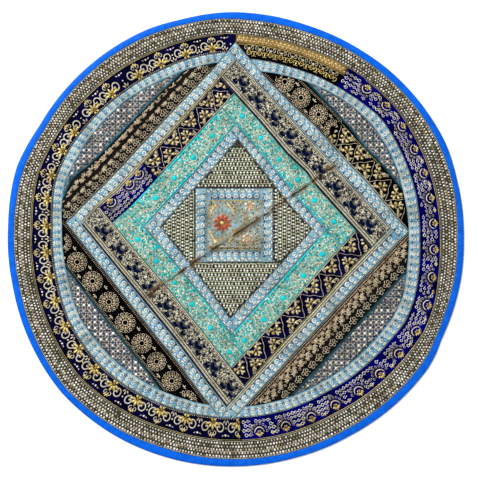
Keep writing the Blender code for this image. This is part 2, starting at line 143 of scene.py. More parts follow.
def add_mesh(name, points, faces, material, uv=None, replaces=()):
    """A mesh from an array of points in millimetres and a list of arrays of faces, added as a piece."""
    mesh = bpy.data.meshes.new(name)
    counts = np.concatenate([np.full(len(block), block.shape[1]) for block in faces])
    corners = np.concatenate([block.ravel() for block in faces])
    mesh.vertices.add(len(points))
    mesh.vertices.foreach_set("co", (points * MM).astype(np.float32).ravel())
    mesh.loops.add(len(corners))
    mesh.loops.foreach_set("vertex_index", corners.astype(np.int32))
    mesh.polygons.add(len(counts))
    mesh.polygons.foreach_set("loop_start", (np.cumsum(counts) - counts).astype(np.int32))
    mesh.update(calc_edges=True)
    if uv is not None:
        layer = mesh.uv_layers.new(name="cloth")
        layer.data.foreach_set("uv", (uv[corners] * MM).astype(np.float32).ravel())
    mesh.validate()
    mesh.polygons.foreach_set("use_smooth", np.ones(len(mesh.polygons), bool))
    mesh.materials.append(material)
    piece = bpy.data.objects.new(name, mesh)
    bpy.context.scene.collection.objects.link(piece)
    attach(piece, "root")
    if replaces:
        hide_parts(*replaces)
    return piece


def close_points(piece):
    """Joins the points that meet at a cloth's pointed ends, so that the mesh is closed there."""
    shell = bmesh.new()
    shell.from_mesh(piece.data)
    bmesh.ops.remove_doubles(shell, verts=shell.verts, dist=1e-6)
    bmesh.ops.dissolve_degenerate(shell, edges=shell.edges, dist=1e-7)
    shell.to_mesh(piece.data)
    shell.free()


def grid_faces(rows, columns, closed=False):
    """Faces of a grid of rows by columns points, numbered row by row.

    A closed grid joins its last row to its first.
    """
    near = np.arange(rows if closed else rows - 1)
    far = (near + 1) % rows
    column = np.arange(columns - 1)
    a = near[:, None] * columns + column
    b = far[:, None] * columns + column
    return np.stack((a, b, b + 1, a + 1), axis=-1).reshape(-1, 4)


# Outlines and lanes

def upper_loops(node):
    """Outlines of a solid's upper face in millimetres, and the level of that face away from the crease.

    An outline is made of the edges that belong to one triangle of the upper face alone, joined end to end.
    """
    mesh = frame["nodes"][node].data
    places = np.empty(len(mesh.vertices) * 3)
    mesh.vertices.foreach_get("co", places)
    places = places.reshape(-1, 3) / MM
    corners = np.empty(len(mesh.polygons) * 3, dtype=np.int64)
    mesh.polygons.foreach_get("vertices", corners)
    faces = places[corners.reshape(-1, 3)]
    normals = np.cross(faces[:, 1] - faces[:, 0], faces[:, 2] - faces[:, 0])
    normals /= np.linalg.norm(normals, axis=1)[:, None] + 1e-12
    upper = faces[normals[:, 2] > 0.7]
    points, index = np.unique(np.round(upper[:, :, :2].reshape(-1, 2), 2), axis=0, return_inverse=True)
    index = index.reshape(-1, 3)
    edges = np.concatenate((index[:, (0, 1)], index[:, (1, 2)], index[:, (2, 0)]))
    known = {(start, stop) for start, stop in edges.tolist()}
    following = {start: stop for start, stop in known if (stop, start) not in known}
    loops = []
    while following:
        start = next(iter(following))
        loop = [start]
        while following.get(loop[-1]) is not None:
            loop.append(following.pop(loop[-1]))
        loops.append(points[loop])
    return loops, upper[:, :, 2].min()


def radius_at(loop, turn):
    """Radius of a closed outline at bearings in radians, evenly between its points."""
    bearings = np.arctan2(loop[:-1, 1], loop[:-1, 0])
    order = np.argsort(bearings)
    return np.interp(turn, bearings[order], np.linalg.norm(loop[:-1], axis=1)[order], period=2.0 * math.pi)


class Lane:
    """Coordinates that follow one cloth piece: along it, anticlockwise, and across it, away from the middle.

    A straight lane turns the plane: along = p . t and across = p . n, where n points along the facing bearing
    and t is a quarter turn on. A round lane unrolls the plane about the centre: along = bearing * R and
    across = radius, where R is its mean radius.
    """

    def __init__(self, node, facing=None, ends=0.4):
        """The lane of a solid. facing is a bearing, "round", or left out to find it from the outline.

        ends is how much of each end, in widths, is left out of the core, where the seams run true.
        """
        self.node = node
        loops, self.level = upper_loops(node)
        self.round = facing == "round"
        self.ring = len(loops) == 2
        everything = np.concatenate(loops)
        self.radius = np.linalg.norm(everything, axis=1).mean()
        if facing is None:
            facing = self.best_facing(loops[0])
        if not self.round:
            self.out = turned(facing)
            self.on = turned(facing + 90.0)
        starts, stops = [], []
        for loop in loops:
            unrolled = self.from_world(loop)
            starts.append(unrolled[:-1])
            stops.append(unrolled[1:])
        self.starts, self.stops = np.concatenate(starts), np.concatenate(stops)
        if self.ring:
            self.span = (0.0, 2.0 * math.pi * self.radius)
        else:
            self.span = (self.starts[:, 0].min() + 1e-4, self.starts[:, 0].max() - 1e-4)
        along = np.linspace(*self.span, TABLE_PLACES)
        self.table = (along,) + self.reach(along)
        middle_half = slice(TABLE_PLACES // 4, 3 * TABLE_PLACES // 4)
        self.width = float(np.mean((self.table[2] - self.table[1])[middle_half]))
        trim = 0.0 if self.ring else ends * self.width
        self.core = (self.span[0] + trim, self.span[1] - trim)

    @staticmethod
    def best_facing(loop):
        """The bearing square to the outline's longest direction, pointing away from the centre."""
        steps = np.diff(loop, axis=0)
        weights = np.linalg.norm(steps, axis=1)
        middles = (loop[1:] + loop[:-1]) / 2
        centre = np.average(middles, axis=0, weights=weights)
        spread = ((middles - centre) * weights[:, None]).T @ (middles - centre)
        for step, weight in zip(steps, weights):
            spread += np.outer(step, step) * weight / 12.0
        short = np.linalg.eigh(spread)[1][:, 0]
        if short @ centre < 0:
            short = -short
        return math.degrees(math.atan2(short[1], short[0]))

    def from_world(self, points):
        """Places along and across of points on the plane."""
        if not self.round:
            return np.stack((points @ self.on, points @ self.out), axis=-1)
        bearing = np.unwrap(np.arctan2(points[:, 1], points[:, 0]))
        return np.stack((bearing * self.radius, np.linalg.norm(points, axis=1)), axis=-1)

    def to_world(self, along, across):
        """Points on the plane of places along and across."""
        if not self.round:
            return along[..., None] * self.on + across[..., None] * self.out
        return spokes(along / self.radius) * across[..., None]

    def reach(self, along):
        """Lowest and highest place across where a crosswise line cuts the outline, at places along."""
        along = np.asarray(along, float)
        flat = along.ravel()[:, None]
        low = np.full(len(flat), np.inf)
        high = np.full(len(flat), -np.inf)
        length = self.stops[:, 0] - self.starts[:, 0]
        whole = 2.0 * math.pi * self.radius
        for turn in (whole * np.arange(-2, 3) if self.round else (0.0,)):
            with np.errstate(divide="ignore", invalid="ignore"):
                share = (flat + turn - self.starts[:, 0]) / length
                place = self.starts[:, 1] + share * (self.stops[:, 1] - self.starts[:, 1])
            hit = (share >= 0.0) & (share <= 1.0)
            low = np.minimum(low, np.where(hit, place, np.inf).min(axis=1))
            high = np.maximum(high, np.where(hit, place, -np.inf).max(axis=1))
        return low.reshape(along.shape), high.reshape(along.shape)

    def read(self, along):
        """Lowest and highest place across, read from the lane's own table."""
        if self.ring:
            along = np.mod(along, self.span[1])
        places, low, high = self.table
        return np.interp(along, places, low), np.interp(along, places, high)

    def seams(self, along):
        """Place across of the inner and the outer seam.

        Past the core they run straight on as they left it.
        """
        if self.ring:
            return self.read(along)
        pace = 8.0
        held = np.clip(along, *self.core)
        low, high = self.read(held)
        for end, inward in zip(self.core, (pace, -pace)):
            (low_end, low_in), (high_end, high_in) = self.read(np.array((end, end + inward)))
            past = np.where(held == end, along - end, 0.0)
            low = low + past * (low_end - low_in) / -inward
            high = high + past * (high_end - high_in) / -inward
        return low, high

    def lay(self, local, nominal=None):
        """Places of points given as along, distance from the inner seam, height above the cloth.

        With a nominal width, distances are scaled so that this width fills the strip from seam to seam.
        With a nominal width of 0, the distance counts from the centre and not from the seam.
        """
        low, high = self.seams(local[..., 0])
        away = local[..., 1]
        if nominal is None:
            across = low + away
        elif nominal == 0.0:
            across = away
        else:
            across = low + away * (high - low) / nominal
        flat = self.to_world(local[..., 0], across)
        return raised(flat, self.level + crease_rise(flat) + pucker(flat) + local[..., 2]), across

    def holds(self, along, across, margin):
        """Whether points lie on the cloth, a margin inside its outline."""
        inside = (along > self.span[0] + margin) & (along < self.span[1] - margin)
        if self.ring:
            inside = np.ones(along.shape, bool)
        low, high = self.read(along)
        return inside & (across > low + margin) & (across < high - margin)

    def area(self):
        """Area of the cloth in square metres, summed crosswise."""
        along = np.linspace(*self.span, 400)
        low, high = self.reach(along)
        scale = (low + high) / 2.0 / self.radius if self.round else 1.0
        return float(np.trapz((high - low) * scale, along)) * MM * MM


# Materials

class Shader:
    """A material whose nodes are added by short calls."""

    def __init__(self, name, roughness, gloss=0.5, metallic=0.0):
        """A new material, with its even values set on the shader's own sockets."""
        self.material = bpy.data.materials.new(name)
        self.material.use_nodes = True
        self.tree = self.material.node_tree
        self.surface = self.tree.nodes["Principled BSDF"]
        self.surface.inputs["Roughness"].default_value = roughness
        self.surface.inputs["Specular IOR Level"].default_value = gloss
        self.surface.inputs["Metallic"].default_value = metallic
        self.coordinates = self.tree.nodes.new("ShaderNodeTexCoord")

    def feed(self, socket, value):
        """Links another node's output to a socket, or sets a plain value on it."""
        if isinstance(value, bpy.types.NodeSocket):
            self.tree.links.new(value, socket)
        else:
            socket.default_value = value

    def node(self, kind, **inputs):
        """A node whose inputs are fed by name, with an underline for a space."""
        node = self.tree.nodes.new(kind)
        for socket, value in inputs.items():
            self.feed(node.inputs[socket.replace("_", " ")], value)
        return node

    def worked(self, kind, operation, values):
        """A node that does one operation with its inputs, which are fed in their order."""
        node = self.tree.nodes.new(kind)
        node.operation = operation
        for socket, value in zip(node.inputs, values):
            self.feed(socket, value)
        return node

    def math(self, operation, *values):
        """One number worked out from others."""
        return self.worked("ShaderNodeMath", operation, values).outputs[0]

    def vector(self, operation, *values):
        """A vector worked out from two, or one number where the operation is a dot product."""
        node = self.worked("ShaderNodeVectorMath", operation, values)
        return node.outputs["Value"] if operation == "DOT_PRODUCT" else node.outputs[0]

    def times(self, product, *others):
        """The product of several numbers."""
        for value in others:
            product = self.math("MULTIPLY", product, value)
        return product

    def ramp(self, value, low, high):
        """0 below low, 1 above high and smooth between."""
        node = self.node("ShaderNodeMapRange", Value=value, From_Min=low, From_Max=high)
        node.interpolation_type = "SMOOTHSTEP"
        return node.outputs["Result"]

    def mix(self, share, first, second, blend="MIX"):
        """Two colours mixed by a share."""
        node = self.tree.nodes.new("ShaderNodeMix")
        node.data_type = "RGBA"
        node.blend_type = blend
        for place, value in ((0, share), (6, first), (7, second)):
            self.feed(node.inputs[place], value)
        return node.outputs[2]

    def noise(self, scale, detail=2.0):
        """Noise over the object, from 0 to 1. The scale counts its lumps in a metre."""
        where = self.coordinates.outputs["Object"]
        return self.node("ShaderNodeTexNoise", Vector=where, Scale=scale, Detail=detail).outputs["Fac"]

    def tones(self, light, dark, scale, low=0.4, high=0.6):
        """Two screen colours mixed by fine noise."""
        return self.mix(self.ramp(self.noise(scale, 3.0), low, high), paint(*light), paint(*dark))

    def creased(self, colour):
        """The colour with brown along the crease, patchy and stronger on its lower side, part real stain and
        part painted shade, and a dark line of painted shade in the fold.
        """
        away = self.vector("SUBTRACT", self.coordinates.outputs["Object"], (*CREASE_START * MM, 0.0))
        share = self.vector("DOT_PRODUCT", away, (*CREASE_ALONG / CREASE_LENGTH / MM, 0.0))
        aside = self.vector("DOT_PRODUCT", away, (*CREASE_ASIDE / MM, 0.0))
        wander = self.times(self.math("SUBTRACT", self.noise(14.0), 0.5), 12.0)
        distance = self.math("ABSOLUTE", self.math("ADD", self.math("ADD", aside, 4.0), wander))
        ends = self.times(self.ramp(share, -0.02, 0.05), self.ramp(share, 1.02, 0.95))
        patchy = self.ramp(self.noise(45.0), 0.3, 0.55)
        # Brown band beside the crease, stronger on its lower side: part real stain, part painted shade
        stain_and_shade = self.times(self.ramp(distance, 12.0, 5.0), ends, patchy, 0.6)
        uneven = self.math("MULTIPLY_ADD", patchy, 0.6, 0.4)
        # Dark line of painted shade along the fold
        fold_shade = self.times(self.ramp(distance, 3.2, 0.9), ends, uneven, 0.9)
        return self.mix(fold_shade, self.mix(stain_and_shade, colour, paint(*BROWN_STAIN_AND_SHADE)), paint(*FOLD_SHADE))

    def weave(self):
        """Bump of crossed threads: the higher of two |sin| ridges, one along the cloth and one across it."""
        split = self.node("ShaderNodeSeparateXYZ", Vector=self.coordinates.outputs["UV"])
        turns = math.pi / THREAD_PITCH / MM
        waves = (self.math("SINE", self.times(split.outputs[axis], turns)) for axis in (0, 1))
        height = self.math("MAXIMUM", *(self.math("ABSOLUTE", wave) for wave in waves))
        bump = self.node("ShaderNodeBump", Height=height, Strength=0.6, Distance=THREAD_DEPTH * MM)
        self.feed(self.surface.inputs["Normal"], bump.outputs["Normal"])

    def finish(self, colour, dullness=0.55):
        """Wires the colour in, with slow dull patches of wear, and over it the crease's brown, part stain and
        part painted shade, and its dark fold line of painted shade.
        """
        dull = self.times(self.ramp(self.noise(26.0), 0.42, 0.72), dullness)
        patched = self.mix(dull, colour, paint(*DULL_PATCH), "MULTIPLY")
        self.feed(self.surface.inputs["Base Color"], self.creased(patched))
        return self.material


# Cloths: light and dark screen colour, roughness, scale of the drift between them, gloss, half the width of
# the drift's edges, and how strong the dull patches are
CLOTHS = {
    "ground_cotton": ((38, 52, 92), (30, 42, 78), 0.9, 45.0, 0.15, 0.2, 0.55),
    "blue_satin": ((2, 98, 218), (0, 84, 194), 0.5, 90.0, 0.08, 0.2, 0.0),
    "navy_silk": ((9, 8, 52), (4, 4, 20), 0.6, 45.0, 0.0, 0.2, 0.55),
    "black_silk": ((9, 7, 8), (3, 2, 3), 0.6, 45.0, 0.0, 0.2, 0.55),
    "royal_silk": ((5, 4, 106), (3, 2, 46), 0.6, 45.0, 0.0, 0.2, 0.55),
    "gold_braid": ((150, 116, 56), (96, 70, 32), 0.5, 120.0, 0.15, 0.2, 0.55),
    "light_blue_silk": ((152, 182, 190), (92, 142, 168), 0.6, 34.0, 0.05, 0.2, 0.55),
    "teal_piping": ((12, 88, 104), (8, 62, 78), 0.6, 45.0, 0.15, 0.2, 0.55),
    "medallion_silk": ((140, 172, 178), (128, 118, 84), 0.6, 70.0, 0.05, 0.2, 0.55),
    "turquoise_silk": ((134, 166, 150), (50, 152, 146), 0.55, 200.0, 0.08, 0.1, 0.55),
    "floral_beige": ((92, 90, 82), (34, 38, 48), 0.6, 300.0, 0.08, 0.1, 0.55),
    "brown_gold": ((13, 9, 7), (3, 2, 2), 0.6, 300.0, 0.08, 0.1, 0.55),
    "crosshatch_net": ((108, 124, 130), (54, 72, 84), 0.65, 220.0, 0.08, 0.1, 0.55),
    "bead_cloth": ((64, 62, 50), (24, 24, 20), 0.6, 240.0, 0.08, 0.1, 0.55),
}

# Drift between the two tones of every thread: its scale, and the noise at which it starts and ends
STITCH_DRIFT = (260.0, 0.35, 0.7)

# Threads, beads and sequins: screen colour, its darker tone, roughness, metallic share, gloss
THREADS = {
    "white": ((255, 252, 246), (216, 210, 202), 0.35, 0.0, 0.3),
    "cream": ((240, 232, 206), (190, 178, 150), 0.4, 0.0, 0.3),
    "silver": ((248, 244, 234), (170, 166, 150), 0.3, 0.1, 0.5),
    "pearl": ((222, 210, 190), (146, 136, 118), 0.35, 0.1, 0.4),
    # Not a thread: dark discs, knots and lines of painted shade, laid in gaps, under rings and round outlines
    "smoke": ((46, 43, 42), (20, 19, 21), 0.5, 0.0, 0.05),
    "slate": ((66, 86, 102), (40, 54, 68), 0.6, 0.0, 0.05),
    "sage": ((172, 188, 156), (116, 130, 104), 0.5, 0.0, 0.1),
    "moss": ((66, 96, 78), (38, 62, 52), 0.5, 0.0, 0.05),
    "bright_blue": ((120, 184, 216), (88, 156, 198), 0.4, 0.0, 0.1),
    "gold": ((230, 212, 138), (160, 136, 66), 0.35, 0.3, 0.4),
    "ochre": ((160, 120, 52), (110, 78, 34), 0.45, 0.2, 0.2),
    "beige": ((230, 218, 190), (160, 146, 116), 0.45, 0.05, 0.2),
    "pale_beige": ((226, 220, 194), (172, 166, 138), 0.5, 0.0, 0.2),
    "tan": ((216, 184, 146), (146, 114, 84), 0.5, 0.0, 0.1),
    "olive_gold": ((140, 132, 102), (86, 80, 60), 0.5, 0.1, 0.1),
    "braid_gold": ((222, 192, 116), (150, 118, 56), 0.4, 0.2, 0.2),
    "navy_thread": ((5, 18, 56), (2, 8, 30), 0.8, 0.0, 0.0),
    "turquoise": ((18, 206, 212), (10, 172, 182), 0.45, 0.0, 0.1),
    "mint": ((156, 228, 208), (84, 184, 168), 0.5, 0.0, 0.1),
    "umber": ((92, 64, 44), (48, 34, 26), 0.5, 0.0, 0.05),
    "teal_thread": ((26, 70, 86), (10, 42, 56), 0.5, 0.0, 0.05),
    "rose_grey": ((200, 178, 168), (126, 112, 110), 0.5, 0.0, 0.1),
    "orange": ((200, 92, 60), (138, 50, 34), 0.5, 0.0, 0.1),
    "light_thread": ((156, 204, 218), (104, 164, 186), 0.5, 0.0, 0.1),
}


def make_materials():
    """Every cloth and every thread, by name."""
    made = {}
    for name, (light, dark, roughness, scale, gloss, drift, dullness) in CLOTHS.items():
        shader = Shader(name, roughness, gloss)
        shader.weave()
        made[name] = shader.finish(shader.tones(light, dark, scale, 0.5 - drift, 0.5 + drift), dullness)
    for name, (light, dark, roughness, metallic, gloss) in THREADS.items():
        shader = Shader(name, roughness, gloss, metallic)
        made[name] = shader.finish(shader.tones(light, dark, *STITCH_DRIFT))
    return made


# Cloth pieces

def cloth(lane, material, step):
    """One cloth piece over its solid: across = low + (high - low) k, k = (1 - cos(pi j)) / 2, j from 0 to 1.

    Its face is level - drop |2k - 1|^8 with the crease and the puckers added, and falls as far over the last
    2 mm at both ends. Its back follows the crease alone.
    """
    ring_places, fewest_places, fewest_rows, end_fall = 240, 6, 9, 2.0
    if lane.ring:
        along = np.linspace(*lane.span, ring_places, endpoint=False)
    else:
        count = max(fewest_places, int((lane.span[1] - lane.span[0]) / step))
        own = np.clip(lane.starts[:, 0], *lane.span)
        along = np.union1d(np.linspace(*lane.span, count), own)
        along = along[np.append(True, np.diff(along) > 1e-3)]
    rows = max(fewest_rows, int(lane.width / step) + 1)
    low, high = lane.reach(along)
    share = (1.0 - np.cos(np.pi * np.linspace(0.0, 1.0, rows))) / 2.0
    across = low[:, None] + (high - low)[:, None] * share
    flat = lane.to_world(np.broadcast_to(along[:, None], across.shape), across)
    rise = crease_rise(flat)
    ends = np.ones(len(along))
    if not lane.ring:
        near = np.minimum(along - lane.span[0], lane.span[1] - along)
        ends = np.clip(near / end_fall, 0.0, 1.0)
    puff = 1.0 - np.abs(2.0 * share - 1.0) ** 8
    top = lane.level - SEAM_DROP * (1.0 - puff * ends[:, None]) + rise + pucker(flat)
    faces = grid_faces(len(along), rows, lane.ring)
    total = len(along) * rows
    points = np.concatenate((raised(flat, top), raised(flat, CLOTH_LEVEL + rise))).reshape(-1, 3)
    index = np.arange(total).reshape(len(along), rows)
    edges = [index[:, 0], index[:, -1][::-1]]
    if lane.ring:
        edges = [np.append(edges[0], edges[0][0]), np.append(edges[1], edges[1][0])]
    else:
        edges += [index[0][::-1], index[-1]]
    rims = [np.stack((edge[:-1], edge[:-1] + total, edge[1:] + total, edge[1:]), axis=-1) for edge in edges]
    inner, outer = lane.seams(along)
    away = (across - inner[:, None]) * (lane.width / np.maximum(outer - inner, 1.0))[:, None]
    uv = np.stack((np.broadcast_to(along[:, None], across.shape), away), axis=-1).reshape(-1, 2)
    piece = add_mesh(
        f"{lane.node}_cloth", points, [faces[:, ::-1], faces + total] + rims, material,
        np.concatenate((uv, uv)), [lane.node],
    )
    close_points(piece)
    length = (lane.span[1] - lane.span[0]) * MM
    width = float(np.max(high - low)) * MM
    if width > 0.01:
        min(lane.area(), length * width)
    return piece


def lanes_of_piece():
    """The lane of every patch."""
    lanes = {}
    for node in ("bead_band", "navy_border", "gold_braid", "black_scroll_border", "royal_border",
                 "light_blue_ring_left", "light_blue_ring_right"):
        lanes[node] = Lane(node, "round", 1.4)
    for side in SIDES:
        for family in ("diamond", "second", "turquoise", "inner_blue", "side_border", "piping", "crosshatch"):
            for node in (f"{family}_{side}", f"{family}_{side}_upper", f"{family}_{side}_lower"):
                if node in SLOT_OF:
                    lanes[node] = Lane(node, ends=1.0 if family == "diamond" else 0.4)
    for bearing, side in zip((0.0, 90.0, 180.0, 270.0), ("right", "top", "left", "bottom")):
        lanes[f"beaded_{side}"] = Lane(f"beaded_{side}", bearing, 0.0)
        lanes[f"square_{side}"] = Lane(f"square_{side}", bearing, 0.05)
    lanes["medallion"] = Lane("medallion", 90.0, 0.05)
    return lanes


def near_crease(lane):
    """Whether a piece lies over the crease."""
    middle = np.concatenate((lane.starts, (lane.starts + lane.stops) / 2))
    world = lane.to_world(middle[:, 0], middle[:, 1])
    return bool((crease_rise(world) > 0.0).any()) or lane.node == "medallion"


def ground_cloth(material):
    """The base cloth: rings of points from the centre to the rim, r = R(bearing) k, face and back."""
    bearings, rings = 160, 53
    turn = np.linspace(-math.pi, math.pi, bearings, endpoint=False)
    share = np.linspace(0.0, 1.0, rings + 1)[1:]
    radius = radius_at(upper_loops("ground_cloth")[0][0], turn)[:, None] * share
    flat = np.concatenate(((spokes(turn)[:, None] * radius[..., None]).reshape(-1, 2), ((0.0, 0.0),)))
    rise = crease_rise(flat)
    centre = radius.size
    back = centre + 1
    index = np.arange(centre).reshape(radius.shape)
    inner, rim = index[:, 0], index[:, -1]
    after = np.roll(rim, -1)
    faces = grid_faces(bearings, rings, True)
    edge = np.stack((rim, rim + back, after + back, after), axis=-1)
    hub = np.stack((np.full(bearings, centre), inner, np.roll(inner, -1)), axis=-1)
    piece = add_mesh(
        "ground_cloth_base", np.concatenate((raised(flat, BASE_LEVEL + rise), raised(flat, rise))),
        [faces[:, ::-1], faces + back, edge, hub, hub[:, ::-1] + back], material,
        np.concatenate((flat, flat)), ["ground_cloth"],
    )
    return piece


def edge_binding(material):
    """The folded binding: a rounded section carried round the rim, radius = inner + (outer - inner) share.

    The rows of the section are that share, the height, and how much of the ripple moves it up or down. The
    ripple is 0.25 sin(61 bearing) + 0.2 sin(143 bearing + 1).
    """
    bearings = 720
    turn = np.linspace(-math.pi, math.pi, bearings, endpoint=False)
    loops = sorted(upper_loops("edge_binding")[0], key=lambda loop: np.linalg.norm(loop, axis=1).mean())
    inner = radius_at(loops[0], turn)
    outer = radius_at(loops[-1], turn) + BINDING_PROUD
    ripple = 0.25 * np.sin(turn * 61.0) + 0.2 * np.sin(turn * 143.0 + 1.0)
    share, height, moving = np.array((
        (0.0, 0.0, 0.06, 0.3, 0.6, 0.85, 0.97, 1.0, 0.97, 0.9, 0.86, 0.86),
        (1.6, 2.9, 3.35, 3.55, 3.5, 3.1, 2.3, 1.4, 0.4, 0.02, 0.02, 1.6),
        (0.0, 0.4, 0.7, 1.0, 1.0, 0.6, 0.2, 0.0, 0.0, 0.0, 0.0, 0.0),
    ))
    radius = inner[:, None] + (outer - inner)[:, None] * share
    points = raised(spokes(turn)[:, None] * radius[..., None], height + ripple[:, None] * moving * 0.5)
    index = np.arange(radius.size).reshape(radius.shape)
    after = np.roll(index, -1, axis=0)
    corners = (index, after, np.roll(after, -1, axis=1), np.roll(index, -1, axis=1))
    faces = np.stack(corners, axis=-1).reshape(-1, 4)
    steps = np.hypot(np.diff(share * BINDING_WIDTH), np.diff(height))
    lengths = np.cumsum(np.append(0.0, steps))
    uv = np.stack(np.broadcast_arrays(turn[:, None] * BINDING_RADIUS, lengths), axis=-1).reshape(-1, 2)
    piece = add_mesh(
        "edge_binding_satin", points.reshape(-1, 3), [faces], material, uv,
        ["edge_binding"],
    )
    return piece


# Stage

def stage():
    """Pale floor, soft light and a camera that looks straight down, framed as the photograph."""
    scene = bpy.context.scene
    bpy.ops.mesh.primitive_plane_add(size=12.0)
    floor = bpy.context.object
    floor.name = "floor"
    shader = Shader("pale_floor", 0.9)
    shader.feed(shader.surface.inputs["Base Color"], shader.tones((246, 246, 246), (243, 243, 243), 3.0))
    floor.data.materials.append(shader.material)
    scene.world = bpy.data.worlds.new("studio")
    scene.world.use_nodes = True
    background = scene.world.node_tree.nodes["Background"]
    background.inputs["Color"].default_value = (1.0, 1.0, 1.0, 1.0)
    background.inputs["Strength"].default_value = 0.5
    lights = (("key", (-2.4, 2.5, 2.9), 238.0, 0.8), ("fill", (2.2, -2.0, 2.8), 26.0, 2.2))
    for name, place, watts, size in lights:
        light = bpy.data.lights.new(name, "AREA")
        light.energy = watts
        light.size = size
        lamp = bpy.data.objects.new(name, light)
        lamp.location = place
        x, y, z = place
        lamp.rotation_euler = (math.atan2(math.hypot(x, y), z), 0.0, math.atan2(-y, -x) - math.pi / 2.0)
        scene.collection.objects.link(lamp)
    camera = bpy.data.objects.new("camera", bpy.data.cameras.new("camera"))
    camera.data.lens = 85.0
    camera.data.sensor_width = 36.0
    view_height = 1.1
    view_middle = (0.007, -0.0238)
    camera.location = (*view_middle, view_height * camera.data.lens / camera.data.sensor_width)
    scene.collection.objects.link(camera)
    scene.camera = camera
    scene.view_settings.view_transform = "Standard"


# Shapes that are sewn on. Points are along, outwards and up from the cloth, in millimetres.

def spun(points, along, away, turn, size=1.0):
    """Points scaled, turned by degrees about their own middle, then moved along and away."""
    angle = np.radians(turn)
    x, y, z = (value * size for value in points.T)
    along = x * np.cos(angle) - y * np.sin(angle) + along
    away = x * np.sin(angle) + y * np.cos(angle) + away
    return np.stack((along, away, np.broadcast_to(z, along.shape)), axis=-1)


def ring(sides):
    """Unit steps at even angles all the way round."""
    return spokes(np.arange(sides) * 2.0 * math.pi / sides)


class Shape:
    """One closed raised shape, with its faces turned to look outwards."""

    def __init__(self, points, faces):
        """Faces that look inwards are turned over.

        The volume tells: the sum of a . (b x c) over all faces cut into triangles a, b, c is above 0 where
        they look outwards.
        """
        self.points = np.asarray(points, float)
        volume = 0.0
        for block in faces:
            for corner in range(1, block.shape[1] - 1):
                first, second, third = (self.points[block[:, place]] for place in (0, corner, corner + 1))
                volume += np.sum(first * np.cross(second, third))
        self.faces = faces if volume > 0 else [block[:, ::-1] for block in faces]

    def moved(self, along, away, turn=0.0):
        """The shape at another place, turned by degrees."""
        return Shape(spun(self.points, along, away, turn), self.faces)


def dome(radius, height, sides=8):
    """A bead: a circle at the cloth, one of 0.8 of its radius at 0.65 of the height, and a crown point."""
    circle = ring(sides) * radius
    shoulder = raised(circle * 0.8, height * 0.65)
    points = np.concatenate((raised(circle, -SUNK), shoulder, [(0.0, 0.0, height)]))
    near = np.arange(sides)
    far = np.roll(near, -1)
    walls = np.stack((near, far, far + sides, near + sides), axis=-1)
    crown = np.stack((near + sides, far + sides, np.full(sides, 2 * sides)), axis=-1)
    return Shape(points, [near[None, ::-1], walls, crown])


def dot(radius, height):
    """A small stitch knot: a six-sided ring at the cloth drawn up to one point."""
    sides = 6
    points = np.concatenate((raised(ring(sides) * radius, -SUNK), [(0.0, 0.0, height)]))
    near = np.arange(sides)
    crown = np.stack((near, np.roll(near, -1), np.full(sides, sides)), axis=-1)
    return Shape(points, [near[None, ::-1], crown])


def leaf(length, width, height, tip=1.0):
    """A petal: a pointed oval from its root at 0 to its tip at the length, with a ridge along the middle."""
    outline = ((0.0, 0.0), (0.35, -0.5), (0.72, -0.42 * tip), (1.0, 0.0), (0.72, 0.42 * tip), (0.35, 0.5))
    points = [(x * length, y * width, -SUNK) for x, y in outline]
    points += [(0.32 * length, 0.0, height), (0.74 * length, 0.0, height * 0.8)]
    faces = np.array((
        (0, 1, 6), (1, 7, 6), (1, 2, 7), (2, 3, 7), (3, 4, 7), (4, 5, 7), (5, 6, 7), (5, 0, 6),
    ))
    return Shape(points, [faces, np.arange(6)[None, ::-1]])


def bar(length, width, height):
    """A straight stitch: a rectangle at the cloth, with a ridge of 0.7 of its length over it."""
    x, y = length / 2.0, width / 2.0
    points = [(-x, -y, -SUNK), (x, -y, -SUNK), (x, y, -SUNK), (-x, y, -SUNK)]
    points += [(-x * 0.7, 0.0, height), (x * 0.7, 0.0, height)]
    sides = np.array(((0, 1, 5, 4), (2, 3, 4, 5), (3, 2, 1, 0)))
    return Shape(points, [sides, np.array(((1, 2, 5), (3, 0, 4)))])


def cord_points(path, width, height, tapered=True):
    """Sections of three points carried along a path: left foot, crest, right foot.

    A tapered cord's width and height are times sqrt(1 - 0.75 s^6), where s runs from -1 to 1 along it.
    """
    path = np.asarray(path, float)
    step = np.gradient(path, axis=-2)
    step /= np.linalg.norm(step, axis=-1)[..., None] + 1e-9
    side = np.stack((-step[..., 1], step[..., 0]), axis=-1)
    share = np.linspace(-1.0, 1.0, path.shape[-2])
    taper = np.sqrt(np.clip(1.0 - 0.75 * share ** 6, 0.0, 1.0)) if tapered else np.ones(len(share))
    foot = side * (width / 2.0 * taper)[:, None]
    sections = (raised(path + foot, -SUNK), raised(path, height * taper), raised(path - foot, -SUNK))
    return np.stack(sections, axis=-2).reshape(path.shape[:-2] + (-1, 3))


def cord_faces(count, closed=False):
    """Faces of a cord with this many sections."""
    near = np.arange(count if closed else count - 1)[:, None] * 3
    far = (near + 3) % (3 * count)
    corner = np.arange(3)
    after = (corner + 1) % 3
    walls = np.stack((near + corner, near + after, far + after, far + corner), axis=-1).reshape(-1, 4)
    if closed:
        return [walls]
    last = 3 * (count - 1)
    return [walls, np.array(((2, 1, 0), (last, last + 1, last + 2)))]


def cord(path, width, height):
    """A thread laid along a path."""
    return Shape(cord_points(path, width, height), cord_faces(len(path)))


def hoop(radius, width, height, sides=10):
    """A thread laid in a closed circle."""
    rings = ((radius + width / 2.0, -SUNK), (radius, height), (radius - width / 2.0, -SUNK))
    points = np.stack([raised(ring(sides) * reach, up) for reach, up in rings], axis=1)
    return Shape(points.reshape(-1, 3), cord_faces(sides, True))


def arc(radius, start, stop, end_radius=None, count=11):
    """A path whose radius runs evenly from one value to another between two angles in degrees."""
    reach = np.linspace(radius, radius if end_radius is None else end_radius, count)
    return turned(np.linspace(start, stop, count)) * reach[:, None]


# All that has been sewn on, by kind of cloth and colour, and the seeded draws that scatter and vary it
WORK = {}
CHANCE = np.random.default_rng(11)


